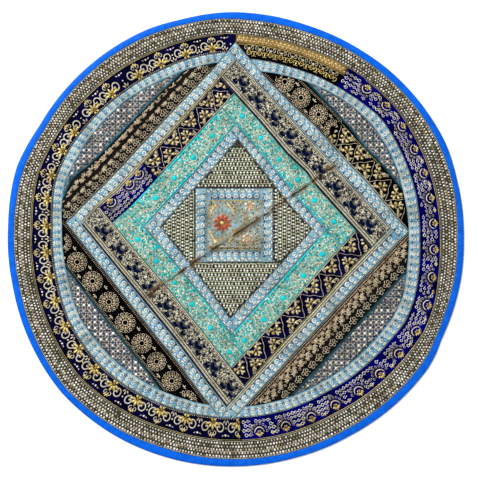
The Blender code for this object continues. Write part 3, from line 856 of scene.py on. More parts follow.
class Sewing:
    """What is sewn on one cloth piece, laid out along it and outwards from its inner seam.

    With a nominal width the work is stretched to fill the piece from seam to seam. Turned over, it is laid
    out from the outer seam, so that it stands the other way up.
    """

    def __init__(self, lane, nominal=None, turned_over=False):
        """Work on a lane. A nominal width of 0 counts the distance from the centre and not from the seam."""
        self.lane = lane
        self.nominal = nominal
        self.turned_over = turned_over
        self.start, self.stop = lane.span
        if turned_over:
            self.start, self.stop = -self.stop, -self.start
        self.width = nominal or lane.width
        self.taken = np.empty((0, 3))

    def as_laid(self, points):
        """Points as the lane counts them: turned over, they become (-along, width - away, height)."""
        return points * (-1.0, -1.0, 1.0) + (0.0, self.width, 0.0) if self.turned_over else points

    def add(self, colour, points, faces):
        """Lays copies of one shape, an array of copies by points, and drops any that cross the outline."""
        points = self.as_laid(points)
        placed, across = self.lane.lay(points, self.nominal)
        kept = self.lane.holds(points[..., 0], across, MARGIN).all(axis=1)
        if kept.any():
            WORK.setdefault((SLOT_OF[self.lane.node], colour), []).append((placed[kept], faces))

    def put(self, colour, shape, along, away, turn=0.0, size=1.0):
        """Repeats a shape at places along and away, each turned by degrees and scaled."""
        along, away, turn, size = (
            value.ravel()[:, None] for value in np.broadcast_arrays(*np.atleast_1d(along, away, turn, size))
        )
        self.add(colour, spun(shape.points, along, away, turn, size), shape.faces)

    def put_mixed(self, bounds, shape, along, away, luck, size):
        """Repeats a shape, each in the first colour whose bound lies above its luck."""
        away = np.broadcast_to(away, along.shape)
        low = 0.0
        for colour, high in bounds.items():
            chosen = (luck >= low) & (luck < high)
            self.put(colour, shape, along[chosen], away[chosen], 0.0, size[chosen])
            low = high

    def take(self, along, away, radius):
        """Keeps scattered work out of circles round these places."""
        circles = np.stack([value.ravel() for value in np.broadcast_arrays(along, away, radius)], axis=-1)
        self.taken = np.concatenate((self.taken, circles))

    def free(self, along, away):
        """Whether places lie outside every circle that is taken."""
        gap = np.hypot(along[..., None] - self.taken[:, 0], away[..., None] - self.taken[:, 1])
        return (gap > self.taken[:, 2]).all(axis=-1)

    def motif(self, parts, along, away, turn=0.0, size=1.0):
        """Repeats a motif, a list of colours and shapes."""
        for colour, shape in parts:
            self.put(colour, shape, along, away, turn, size)

    def threads(self, colour, paths, width, height, tapered=True):
        """Lays a thread along each of an array of paths."""
        self.add(colour, cord_points(paths, width, height, tapered), cord_faces(paths.shape[-2]))

    def places(self, pitch, phase=0.0):
        """Places along at a pitch, counted from the middle of the side."""
        first = math.ceil((self.start - phase) / pitch)
        return phase + pitch * np.arange(first, math.floor((self.stop - phase) / pitch) + 1)

    def run_of(self, away, half):
        """First and last place along at which a line this far from the seam lies on the cloth."""
        along = -self.lane.table[0] if self.turned_over else self.lane.table[0]
        local = self.as_laid(np.stack(np.broadcast_arrays(along, away, 0.0), axis=-1))
        across = self.lane.lay(local, self.nominal)[1]
        inside = along[self.lane.holds(local[:, 0], across, MARGIN + half)]
        return (inside.min(), inside.max()) if len(inside) else (0.0, 0.0)

    def line(self, colour, away, width, height):
        """One thread along the cloth, a fixed distance from the inner seam."""
        step = 6.0
        start, stop = self.run_of(away, width / 2.0)
        if stop - start < 2.0 * step:
            return
        along = np.linspace(start, stop, int((stop - start) / step) + 2)
        self.threads(colour, np.stack((along, np.full(len(along), away)), axis=-1)[None], width, height)

    def lines(self, *threads):
        """Threads along the cloth, each given by its colour, distance, width and height."""
        for thread in threads:
            self.line(*thread)

    def row(self, colour, shape, away, pitch, turn=0.0, phase=0.0):
        """A row of one shape along the cloth."""
        self.put(colour, shape, self.places(pitch, phase), away, turn)

    def stitches(self, colour, away, pitch, length, width=1.5, height=0.7, turn=90.0, phase=0.0):
        """A row of straight stitches."""
        self.row(colour, bar(length, width, height), away, pitch, turn, phase)

    def scatter(self, colour, shape, pitch, every, low=0.0, high=None):
        """A shape at jittered places of a square grid, each turned and sized by chance.

        every is the share of the places that get one, low and high are the distances between which they lie.
        """
        spread, smallest, largest = 0.35, 0.8, 1.15
        high = self.width if high is None else high
        along, away = np.meshgrid(self.places(pitch), np.arange(low + pitch / 2.0, high, pitch))
        kept = CHANCE.random(along.shape) < every
        along, away = along[kept], away[kept]
        along = along + CHANCE.uniform(-spread, spread, along.shape) * pitch
        away = away + CHANCE.uniform(-spread, spread, away.shape) * pitch
        clear = self.free(along, away)
        along, away = along[clear], away[clear]
        turn = CHANCE.uniform(0.0, 360.0, along.shape)
        self.put(colour, shape, along, away, turn, CHANCE.uniform(smallest, largest, along.shape))

    def scatter_all(self, *rows, low=0.0, high=None):
        """Scatters several shapes, each given by its colour, shape, pitch and share of the places."""
        for colour, shape, pitch, every in rows:
            self.scatter(colour, shape, pitch, every, low, high)


def fan(colour, shape, bearings, reach=0.0, twist=0.0):
    """Copies of a shape round a middle, each moved out along its bearing and turned to it."""
    return [(colour, shape.moved(*(reach * turned(bearing)), bearing + twist)) for bearing in bearings]


def round_of(colour, shape, count, reach, start=0.0, sweep=360.0):
    """Copies of a shape set round a middle, from one bearing through a sweep, each pointing away from it."""
    return fan(colour, shape, np.linspace(start, start + sweep, count, endpoint=sweep < 360.0), reach)


def flower(colour, heart, petals, radius, width, height):
    """A flower: petals from a quarter of its radius outwards, round a knot."""
    root = radius * 0.25
    parts = round_of(colour, leaf(radius - root, width, height, 1.15), petals, root, 90.0)
    return parts + [(heart, dome(radius * 0.24, height * 1.2))]


def lily(colour, heart, length, width, height):
    """A lily seen from the side: a fan of five leaves, the outer ones the longest, over two short ones."""
    parts = []
    for lean, share in ((0.0, 0.9), (38.0, 0.8), (74.0, 1.0), (140.0, 0.42)):
        bearings = (90.0 + lean, 90.0 - lean) if lean else (90.0,)
        parts += fan(colour, leaf(length * share, width, height), bearings, 1.6)
    return parts + [(heart, dome(width * 0.45, height * 1.3))]


def horn(colour, radius, width, height, mirror):
    """A ram's horn: a round thread that starts below, goes round the outer side and winds in at the top."""
    body = arc(radius, -115.0, 60.0, count=9)
    tip = arc(radius, 60.0, 235.0, radius * 0.36, 9)
    return [(colour, cord(np.concatenate((body, tip[1:])) * (mirror, 1.0), width, height))]


def spray(colour, length, width, spread=48.0, height=0.9):
    """Three leaves that fan out, pointing away from the inner seam."""
    return fan(colour, leaf(length, width, height), (90.0 - spread, 90.0, 90.0 + spread))


# Work on each kind of cloth

# Bearings of the five petals of a plump flower, set unevenly as hand work is
PETALS = (90.0, 154.0, 216.0, 324.0, 26.0)


def sequin_strip(sewing, curl_at, pitch=15.3, size=1.0, both=False, line_at=None):
    """Light blue strip: a row of white curls, each with a cream spray over it, and leaves and beads between.

    both adds a spray under each curl, and line_at is the middle of three corded lines along the strip.
    """
    curl = [
        # The first umber arc is a dark ring of painted shade round each curl
        ("umber", cord(arc(7.7, 150.0, 390.0, count=9), 1.7, 0.5)),
        ("white", cord(arc(1.3, -60.0, 370.0, 6.0, 16), 2.5, 1.5)),
        ("umber", dome(1.3, 1.2, 6).moved(2.6, -1.6)),
    ]
    middle = sewing.places(pitch)
    between = middle + pitch / 2.0
    sewing.motif(curl, middle, curl_at, CHANCE.uniform(-50.0, 50.0, middle.shape), size)
    top = spray("cream", 7.4, 3.8, 52.0) + [("umber", leaf(5.4, 3.4, 1.4).moved(0.0, 5.6, 90.0))]
    sewing.motif(top, middle, curl_at + 6.0 * size, 0.0, size)
    if both:
        sewing.motif(top, middle, curl_at - 6.0 * size, 180.0, size)
    sewing.put("bright_blue", leaf(9.0, 4.6, 0.8), between, curl_at + 0.5, 90.0)
    sewing.put("umber", leaf(6.6, 3.6, 1.0), between, curl_at - 2.0, 270.0)
    sewing.put("white", dome(2.2, 1.3, 6), between, curl_at + 12.0)
    sewing.put("slate", bar(6.0, 2.2, 0.6), between + 2.4, curl_at + 8.6, 60.0)
    if line_at:
        sewing.lines(("gold", line_at - 2.4, 2.2, 1.1), ("umber", line_at - 0.4, 1.5, 0.7))
        sewing.line("beige", line_at + 1.8, 2.2, 1.0)
        sewing.row("umber", dot(1.1, 0.8), line_at + 4.0, 3.4)
    sewing.row("umber", dot(1.1, 0.7), sewing.width - 1.3, 3.4)
    sewing.row("cream", dot(1.3, 0.9), sewing.width - 3.4, 4.4)


def bead_rows(sewing, rows, pitch):
    """Rows of beads of uneven size, bright and dull by chance, with stitches between the rows."""
    for number, away in enumerate(rows):
        shift = pitch / 2.0 * (number % 2)
        middle = sewing.places(pitch, shift)
        middle = middle + CHANCE.uniform(-0.7, 0.7, middle.shape)
        size = CHANCE.uniform(0.75, 1.2, middle.shape)
        luck = CHANCE.random(middle.shape)
        bounds = {"silver": 0.55, "pearl": 0.85, "olive_gold": 1.0}
        sewing.put_mixed(bounds, dome(2.4, 1.8), middle, away, luck, size)
        # A dark knot of painted shade in the gap after each bead
        sewing.put("smoke", dot(1.7, 0.5), middle + pitch / 2.0, away)
    for near, far in zip(rows, rows[1:]):
        sewing.stitches("olive_gold", (near + far) / 2.0, 3.3, 2.6, 1.4, 0.6, 60.0)


def bead_band(lane):
    """Beaded ring: five rows of beads between corded lines."""
    sewing = Sewing(lane, 37.0)
    sewing.line("pale_beige", 1.3, 1.1, 1.0)
    bead_rows(sewing, (5.5, 12.0, 18.5, 25.0, 31.5), 6.6)
    # The two dark lines are painted shade between the bead rows; the beige one is a cord
    sewing.lines(("smoke", 8.8, 1.2, 0.5), ("beige", 21.8, 1.5, 0.8), ("smoke", 28.3, 1.2, 0.5))
    sewing.stitches("silver", 35.2, 3.3, 2.6, 1.8, 1.0, 90.0)


def black_floral(sewing, lower, upper, pitch):
    """Dark border: plump gold flowers in two rows, thin pale stems between the rows, and bells round each.

    lower and upper are the places of the flowers in each row. The stems run from the middle of a lower flower
    to half a pitch beside it: away = width - 5 - share (width - 10) + 1.6 sin(12 share).
    """
    lower, upper = np.array(lower), np.array(upper)
    bloom = fan("gold", leaf(9.4, 7.2, 1.3, 1.6), PETALS, 3.6)
    bloom += fan("cream", leaf(4.6, 3.0, 2.1, 1.3), PETALS, 6.4, 20.0)
    bloom += [("beige", hoop(4.2, 1.5, 1.7, 9)), ("umber", dome(2.6, 2.2, 7))]
    sewing.motif(bloom, lower, 15.0, CHANCE.uniform(-16.0, 16.0, lower.shape))
    sewing.motif(bloom, upper, sewing.width - 15.0, 180.0 + CHANCE.uniform(-16.0, 16.0, upper.shape))
    run = np.linspace(0.0, 1.0, 16)
    for piece in range(0, 15, 3):
        share = run[piece:piece + 4]
        for sign in (-1.0, 1.0):
            along = lower[:, None] + sign * share * pitch / 2.0
            away = (sewing.width - 5.0) - share * (sewing.width - 10.0) + 1.6 * np.sin(share * 12.0)
            path = np.stack((along, away + np.zeros_like(along)), axis=-1)
            sewing.threads("beige", path, 1.5 if sign > 0 else 1.1, 1.0, False)
    bell = [
        ("beige", cord(arc(3.6, 40.0, 330.0, count=9), 2.4, 1.6)),
        ("gold", dome(1.7, 1.9, 6)),
        ("beige", leaf(5.5, 2.8, 1.3).moved(0.0, 3.0, 90.0)),
    ]
    pair = fan("beige", leaf(7.6, 4.8, 1.7, 1.3), (42.0, 138.0))
    for places, away, turn, up in ((lower, 7.0, 0.0, 1.0), (upper, sewing.width - 7.0, 180.0, -1.0)):
        sewing.motif(pair, places, away + 17.0 * up, turn)
        for side in (1.0, -1.0):
            sewing.motif(bell, places + 15.0 * side, away, turn - 30.0 * side)
            sewing.motif(pair, places + 9.5 * side, away - 2.6 * up, turn - 75.0 * side, 0.85)
    sewing.line("beige", 1.6, 1.8, 0.9)
    sewing.row("gold", dot(1.3, 1.0), sewing.width - 1.6, 3.6)


def royal_patch(sewing):
    """Royal blue patch: arches round a lily with white rings between them."""
    middle = np.array((137.0, 80.0, 50.0))
    sewing.take(middle, 36.0, 20.0)
    ring_dots(sewing, 10.0)
    arches(sewing, middle, 36.0)
    sewing.line("beige", 44.0, 2.0, 0.9)


def ring_dots(sewing, pitch, low=2.0, high=None, every=0.9):
    """Small white rings on dark discs of painted shade, in staggered rows, with a bead beside each ring.

    every is the share of the places that get one.
    """
    high = sewing.width - 2.0 if high is None else high
    along, away = np.meshgrid(sewing.places(pitch), np.arange(low + pitch / 2.0, high, pitch * 0.85))
    rows = np.arange(away.shape[0])[:, None]
    along = along + pitch / 2.0 * (rows % 2) + CHANCE.uniform(-1.0, 1.0, along.shape)
    away = away + CHANCE.uniform(-0.8, 0.8, along.shape)
    kept = (CHANCE.random(along.shape) < every) & sewing.free(along, away)
    along, away = along[kept], away[kept]
    size = CHANCE.uniform(0.8, 1.15, along.shape)
    # A dark disc of painted shade under each ring
    sewing.put("smoke", dot(4.4, 0.5), along, away)
    sewing.put("white", hoop(2.6, 1.4, 1.3, 8), along, away, 0.0, size)
    sewing.put("white", dome(1.2, 1.3, 6), along + pitch / 2.0, away, 0.0, size)


def arches(sewing, middle, away):
    """Two nested arches that open outwards: a corded one round a lily, and one of small rings round it."""
    parts = [("cream", cord(arc(10.5, 180.0, 360.0), 2.4, 1.5))]
    # A dark arc and dots of painted shade round the corded arch
    parts.append(("smoke", cord(arc(12.6, 180.0, 360.0), 2.0, 0.6)))
    parts += round_of("smoke", dot(1.7, 0.9), 7, 14.0, 190.0, 160.0)
    parts += round_of("pearl", hoop(2.1, 1.3, 1.1, 7), 8, 17.6, 186.0, 168.0)
    parts += lily("gold", "ochre", 8.5, 4.6, 1.6)
    sewing.motif(parts, middle, away)


def bearings_of(lane, bearings):
    """Places along a round lane for bearings in degrees, counted the way its own outline runs."""
    whole = 2.0 * math.pi * lane.radius
    along = np.radians(np.asarray(bearings, float)) * lane.radius
    middle = sum(lane.span) / 2.0
    return along + whole * np.round((middle - along) / whole)


def navy_border(lane):
    """Navy border: a gold lily between two ram's horns, a bud over it, and small leaves in each gap."""
    sewing = Sewing(lane, 43.0)
    bearings = (
        89.5, 97, 105, 113, 120.5, 130.5, 137.5, 146.5, 153, 161, 168, 176,
        184, 191.5, 199, 207, 215, 222.5, 230, 238.5, 246.5, 254.5, 263, 271,
    )
    middle = bearings_of(lane, bearings)
    gap = (middle[1:] + middle[:-1]) / 2.0
    sewing.motif(lily("gold", "ochre", 18.5, 6.6, 1.9), middle, 9.0)
    for mirror in (1.0, -1.0):
        sewing.motif(horn("pale_beige", 8.8, 3.3, 1.7, mirror), middle + mirror * 15.8, 19.0)
        sewing.motif(horn("beige", 3.8, 2.2, 1.3, mirror), middle + mirror * 4.4, 30.0)
        sewing.put("beige", dome(2.2, 1.6, 6), middle + mirror * 15.2, 18.0)
        sewing.put("beige", leaf(9.0, 3.6, 1.2), gap + mirror * 1.5, 4.6, 90.0 - 42.0 * mirror)
        sewing.put("beige", leaf(6.0, 2.8, 1.2), gap + mirror * 3.5, 33.0, 90.0 - 62.0 * mirror)
    sewing.motif(spray("gold", 8.0, 4.0, 50.0, 1.4), middle, 32.0)
    sewing.put("cream", leaf(10.0, 3.2, 1.2), gap, 6.0, 90.0)
    sewing.put("cream", dome(1.9, 1.3, 6), gap, 20.0)
    sewing.put("white", dome(2.2, 1.8), gap, 33.5)
    sewing.line("gold", 41.8, 1.3, 1.0)
    sewing.row("beige", dot(1.3, 0.9), 1.9, 4.4)


def royal_border(lane):
    """Royal border: lilies in nested arches that open outwards, on a field of white rings and beads."""
    sewing = Sewing(lane, 43.0)
    bearings = np.concatenate((np.arange(4.5, 54.0, 7.4), np.arange(-3.0, -86.0, -8.0)))
    middle = bearings_of(lane, bearings)
    gap = (middle[1:] + middle[:-1]) / 2.0
    sewing.take(middle, 32.0, 19.5)
    ring_dots(sewing, 9.6, 3.5, 38.5, 0.85)
    arches(sewing, middle, 30.5)
    sewing.motif(spray("gold", 6.5, 3.6, 54.0, 1.3), gap, 32.0)
    sewing.line("gold", 41.8, 1.4, 1.0)


def black_scroll_border(lane):
    """Short dark border: a gold ring between double scrolls."""
    sewing = Sewing(lane, 25.0)
    middle = sewing.places(24.0)
    sewing.motif([("gold", hoop(4.2, 1.9, 1.3)), ("ochre", dome(1.8, 1.5))], middle, 11.0)
    for mirror in (1.0, -1.0):
        sewing.motif(horn("gold", 4.2, 1.9, 1.3, mirror), middle + mirror * 8.6, 9.0)
        sewing.motif(horn("beige", 3.2, 1.6, 1.1, mirror), middle + mirror * 6.6, 19.0)
    sewing.motif(spray("beige", 5.0, 2.6), middle, 15.5)
    sewing.line("gold", 23.5, 1.5, 0.9)


def gold_braid(lane):
    """Gold ribbon: two rows of slanted stitches between corded edges."""
    sewing = Sewing(lane, 17.0)
    for away, turn in ((5.4, 52.0), (11.6, 128.0)):
        sewing.stitches("braid_gold", away, 4.6, 7.2, 2.4, 1.1, turn)
        sewing.stitches("ochre", away, 4.6, 7.0, 2.0, 0.8, turn, 2.3)
        # The cream beads along each row are painted highlights on the gold
        sewing.row("cream", dome(1.9, 1.5, 6), away, 9.2, 0.0, away)
    for away in (1.4, 8.5, 15.6):
        sewing.line("braid_gold", away, 1.8, 1.1)
    sewing.scatter("ochre", dot(0.9, 1.2), 7.5, 0.6)


def side_scrolls(sewing, first, second, edge):
    """Side border: a dark row of thread loops on curved stems, and a band of leaf fans beside it.

    first and second are the distances of the middle of the loops and of the fans, and edge lists those of the
    dotted edge lines.
    """
    outward = 1.0 if first > second else -1.0
    middle = sewing.places(22.0)
    loop_places = ((-0.4, 5.0), (5.2, -1.4), (-5.4, -0.8))
    loops = [("beige", hoop(3.3, 1.5, 1.6, 10).moved(*place)) for place in loop_places]
    loops.append(("beige", cord(arc(9.0, 205.0, 268.0, count=7) + (4.6, 1.0), 1.6, 1.4)))
    loops.append(("beige", leaf(5.5, 2.2, 1.4).moved(5.6, 3.4, 34.0)))
    facing = 0.0 if outward > 0 else 180.0
    sewing.motif(loops, middle, first, CHANCE.uniform(-14.0, 14.0, middle.shape) + facing)
    leaves = fan("beige", leaf(10.4, 3.2, 2.4, 1.2), (48.0, 90.0, 132.0))
    leaves += fan("tan", leaf(9.0, 3.2, 2.0, 1.2), (8.0, 172.0)) + [("cream", dome(1.6, 2.2, 6))]
    for shift, away, turn in ((0.0, -9.0, 0.0), (11.0, -3.0, 8.0), (5.5, 8.0, 172.0)):
        lean = turn + CHANCE.uniform(-16.0, 16.0, middle.shape)
        size = CHANCE.uniform(0.82, 1.08, middle.shape)
        sewing.motif(leaves, middle + shift, second + outward * away, lean, size)
    along = sewing.places(9.6)
    for side in (-1.0, 1.0):
        away = second + side * CHANCE.uniform(7.5, 11.0, along.shape)
        sewing.put("beige", hoop(2.3, 1.3, 1.6, 7), along + 2.0 * side, away)
    for away in edge:
        sewing.row("beige", dot(1.3, 1.0), away, 3.8)
        sewing.row("tan", cord(arc(2.0, -30.0, 200.0, count=6), 1.3, 1.0), away + 4.2 * outward, 6.4)


def suns(sewing, middle, away):
    """Black border: open round flowers of fine leaves and rings, between dotted lines along both edges."""
    middle = np.array(middle)
    sun = [("beige", hoop(6.0, 2.2, 1.6, 12))]
    sun += round_of("beige", leaf(8.4, 3.8, 1.9, 1.2), 11, 7.0)
    sun += round_of("tan", leaf(7.5, 2.6, 2.1), 11, 9.5, 16.4)
    sun += round_of("beige", hoop(2.9, 1.9, 1.6, 7), 11, 18.4)
    sun += round_of("beige", dot(1.3, 1.3), 11, 21.6, 16.4)
    sewing.motif(sun, middle, away, 0.0, CHANCE.uniform(0.95, 1.05, middle.shape))
    gap = (middle[1:] + middle[:-1]) / 2.0
    sewing.motif(spray("beige", 7.5, 3.4, 60.0, 1.2), gap, away + 14.0)
    sewing.motif(spray("beige", 7.0, 3.2, 60.0, 1.2), gap, away - 12.0, 180.0)
    for line_at in (2.0, 5.4, sewing.width - 4.6, sewing.width - 1.8):
        sewing.row("tan" if line_at < 4.0 else "beige", dot(1.1, 1.0), line_at, 4.0, phase=line_at)


def beige_floral(sewing, big):
    """Beige border: navy crescents and buds on mottled stitches, with a stitched band along both edges."""
    buds = np.concatenate((big + 13.0, big - 13.0))
    sewing.take(big, 36.0, 13.0)
    sewing.take(big, 26.0, 6.0)
    sewing.take(buds, 22.0, 6.5)
    sewing.scatter_all(
        ("pale_beige", cord(arc(3.0, 0.0, 230.0, 1.7, 6), 2.2, 1.2), 5.6, 0.97),
        ("cream", dot(1.8, 1.3), 5.4, 0.65),
        ("navy_thread", leaf(6.6, 3.8, 1.1), 8.8, 0.65),
        low=15.0, high=50.5,
    )
    crescent = [
        ("navy_thread", cord(arc(8.4, 190.0, 350.0, count=9), 9.4, 1.5)),
        ("navy_thread", leaf(10.0, 8.0, 1.5, 1.3).moved(0.0, -14.0, 90.0)),
        ("navy_thread", dome(3.6, 1.3, 6).moved(-9.6, 4.0)),
        ("navy_thread", dome(3.6, 1.3, 6).moved(9.6, 4.0)),
        ("pale_beige", hoop(2.9, 2.0, 1.4, 8).moved(0.0, 4.4)),
        ("pale_beige", leaf(6.0, 3.4, 1.4).moved(0.0, 7.4, 90.0)),
        ("silver", dome(1.4, 1.8, 6).moved(0.0, 4.4)),
    ]
    sewing.motif(crescent, big, 36.5)
    bud = [("navy_thread", leaf(11.0, 8.6, 1.4, 1.3).moved(0.0, -5.0, 90.0 + turn)) for turn in (-38.0, 38.0)]
    sewing.motif(bud, buds, 21.0)
    gap = np.concatenate((big - 26.0, big[:1] + 26.0))
    wave = np.stack((np.linspace(-9, 9, 12), 2.4 * np.sin(np.linspace(0.0, 11.0, 12))), axis=-1)
    for away in (31.0, 44.0):
        sewing.put("navy_thread", cord(wave, 3.0, 1.3), gap, away)
    sewing.put("cream", dome(2.6, 1.6, 6), gap, 37.5)
    sewing.line("navy_thread", 2.0, 2.6, 0.9)
    for away in (6.2, 11.4):
        sewing.stitches("cream", away, 3.6, 4.0, 2.2, 1.0, 76.0)
        sewing.row("pale_beige", dot(1.1, 0.9), away, 3.6, 0.0, 1.8)
    # Two thin dark lines of painted shade beside the stitch rows
    sewing.lines(("smoke", 8.9, 1.0, 0.4), ("smoke", 14.2, 1.2, 0.4))
    sewing.row("cream", dome(1.7, 1.3, 6), 54.2, 4.0)
    sewing.stitches("pale_beige", 50.9, 3.6, 2.8, 2.0, 1.0, 104.0)
    sewing.line("olive_gold", 48.4, 1.2, 0.5)


def turquoise_strip(sewing, dots, wedges, dots_at, wedge_at, stripes):
    """Turquoise border: mottled pale stitches with solid discs, leaf wedges and corded stripes.

    dots and wedges are their places along, dots_at, wedge_at and stripes the distances from the inner seam.
    """
    sewing.take(dots, dots_at, 9.5)
    sewing.scatter_all(
        ("pale_beige", cord(arc(5.2, 0.0, 250.0, 2.6, 8), 2.4, 1.4), 11.0, 0.95),
        ("white", cord(arc(2.6, 0.0, 190.0, count=5), 2.4, 1.4), 8.0, 0.85),
        ("turquoise", leaf(7.5, 4.2, 1.3), 10.4, 0.8),
        ("mint", leaf(6.0, 3.6, 1.3), 9.6, 0.7),
        ("moss", leaf(5.4, 3.0, 1.1), 7.4, 0.75),
    )
    disc = [("turquoise", dome(6.4, 1.6, 14)), ("pale_beige", hoop(8.2, 2.0, 1.3, 14))]
    sewing.motif(disc, dots, dots_at)
    turn = 90.0 if wedge_at < sewing.width / 2.0 else 270.0
    sewing.motif(fan("turquoise", leaf(11.0, 7.5, 1.6), (turn - 22.0, turn + 20.0)), wedges, wedge_at)
    for away in stripes:
        sewing.line("turquoise", away, 4.6, 0.9)
        sewing.line("moss", away + (3.2 if away < 25.0 else -3.2), 1.2, 0.5)


def crosshatch(lane, upright_lane, level_lane, bright):
    """Crosshatch piece: level and upright teal threads, with a bead and four stitches in each square.

    bright is the share of the beads that are white, and the stitches are the wider for it.
    """
    pitch = 12.6
    margin = 1.6
    end_room = 6.0
    shortest = 12.0
    for cut in (upright_lane, level_lane):
        sewing = Sewing(cut, 0.0)
        along = sewing.places(pitch)
        along = along[(along > cut.span[0] + end_room) & (along < cut.span[1] - end_room)]
        low, high = cut.seams(along)
        share = np.linspace(0.0, 1.0, 14)
        across = (low + margin)[:, None] + share * (high - low - 2.0 * margin)[:, None]
        long_enough = (high - low) > shortest
        paths = np.stack((np.broadcast_to(along[:, None], across.shape), across), axis=-1)[long_enough]
        if len(paths):
            sewing.threads("teal_thread", paths, 2.0, 1.1)
    sewing = Sewing(upright_lane, 0.0)
    x = np.arange(-40, 41) * pitch + pitch / 2.0
    along, across = (value.ravel() for value in np.meshgrid(x, x))
    along = along + CHANCE.uniform(-1.2, 1.2, along.shape)
    across = across + CHANCE.uniform(-1.2, 1.2, along.shape)
    luck = CHANCE.random(along.shape)
    bounds = {"white": bright, "cream": 0.7, "pearl": 1.0}
    sewing.put_mixed(bounds, dome(2.9, 1.9), along, across, luck, 1.2 - 0.4 * luck)
    for turn in (45.0, 135.0, 225.0, 315.0):
        lean = turn + CHANCE.uniform(-14.0, 14.0, along.shape)
        sewing.put("rose_grey", leaf(6.8, 3.8 + 2.2 * bright, 1.2).moved(2.0, 0.0), along, across, lean)
    for turn in (0.0, 90.0, 180.0, 270.0):
        sewing.put("teal_thread", dot(1.0, 0.8).moved(4.4, 0.0), along, across, turn)
    edge = Sewing(lane)
    edge.line("teal_thread", edge.width - 2.0, 1.8, 0.8)


def beaded_triangle(lane):
    """Beaded triangle: level or upright rows of beads with slanted stitches between the rows."""
    sewing = Sewing(lane, 0.0)
    pitch, row_gap, first_row = 7.4, 9.6, 2.0
    half, half_gap = pitch / 2.0, row_gap / 2.0
    places = np.arange(-20, 21)
    along, across = (value.ravel() for value in np.meshgrid(places * pitch, places * row_gap + first_row))
    shift = half * (np.round((across - first_row) / row_gap) % 2)
    along = along + shift + CHANCE.uniform(-0.8, 0.8, along.shape)
    across = across + CHANCE.uniform(-0.6, 0.6, along.shape)
    bright = CHANCE.random(along.shape) < 0.75
    sewing.put("silver", dome(2.7, 2.0), along[bright], across[bright])
    sewing.put("pearl", dome(2.4, 1.8), along[~bright], across[~bright])
    # A dark knot of painted shade in the gap between neighbouring beads
    sewing.put("smoke", dot(1.8, 0.6), along + half, across)
    for side in (-1.0, 1.0):
        sewing.put("sage", bar(6.2, 2.6, 1.0), along + 1.8 * side, across + half_gap, 90.0 - 45.0 * side)
    sewing.put("pale_beige", dome(1.5, 1.5, 6), along + half, across + half_gap)


def medallion(lane):
    """Panel: a pointed star between four couched arcs at the left, two small flowers and loose scrolls."""
    sewing = Sewing(lane, 0.0)
    parts = []
    for colour, shape, count, reach, start in (
        ("rose_grey", leaf(23.0, 12.0, 1.2, 0.8), 10, 2.0, 18.0),
        ("orange", leaf(20.5, 9.8, 2.3, 0.6), 10, 3.0, 18.0),
        ("gold", dome(5.0, 2.8), 1, 0.0, 0.0),
        ("umber", leaf(9.0, 1.6, 2.5), 10, 8.0, 90.0),
        ("tan", leaf(8.0, 2.2, 2.6, 0.8), 10, 6.0, 108.0),
        ("light_thread", leaf(9.0, 2.6, 1.0), 20, 23.5, 9.0),
        ("teal_thread", leaf(7.0, 1.5, 1.0), 20, 24.5, 0.0),
    ):
        parts += round_of(colour, shape, count, reach, start)
    for start in (23.0, 113.0, 203.0, 293.0):
        sweep = arc(46.0, start, start + 44.0, count=12) * (0.64, 1.0)
        for colour, size, width, height in (
            ("braid_gold", 1.0, 9.0, 1.3), ("pale_beige", 0.96, 3.4, 1.9), ("gold", 1.05, 1.8, 1.7),
        ):
            parts.append((colour, cord(sweep * size, width, height)))
        parts += [("tan", hoop(3.2, 2.0, 1.4).moved(*(end * 0.84))) for end in (sweep[0], sweep[-1])]
    small = round_of("cream", leaf(12.5, 7.6, 1.1, 1.2), 6, 1.0, 90.0)
    small += flower("orange", "gold", 6, 10.6, 4.6, 2.0)
    small += round_of("rose_grey", leaf(4.5, 2.2, 1.9), 6, 6.0, 60.0) + [("tan", hoop(13.6, 1.6, 1.1, 16))]
    for flower_parts, along, away, room in (
        (parts, 29.92, 35.64, 41.0), (small, -30.8, 72.16, 14.5), (small, -25.96, 1.76, 14.5),
    ):
        sewing.take(along, away, room)
        sewing.motif(flower_parts, along, away)
    sewing.scatter_all(
        ("tan", cord(arc(5.0, 0.0, 250.0, 2.2, 9), 2.2, 1.2), 11.0, 0.95),
        ("cream", cord(arc(3.4, 0.0, 200.0, 1.6, 7), 2.0, 1.3), 9.0, 0.7),
        ("light_thread", leaf(6.5, 3.4, 1.0), 9.0, 0.8),
        ("umber", leaf(5.6, 2.9, 1.0), 8.0, 0.8),
        ("moss", leaf(5.0, 2.0, 0.9), 9.0, 0.6),
        low=-40.0, high=100.0,
    )
    edge = Sewing(lane)
    edge.lines(
        ("gold", 2.0, 1.6, 1.3), ("olive_gold", 5.2, 1.6, 1.5), ("beige", 8.2, 1.6, 1.5),
        ("gold", edge.width - 2.0, 2.0, 1.0),
    )


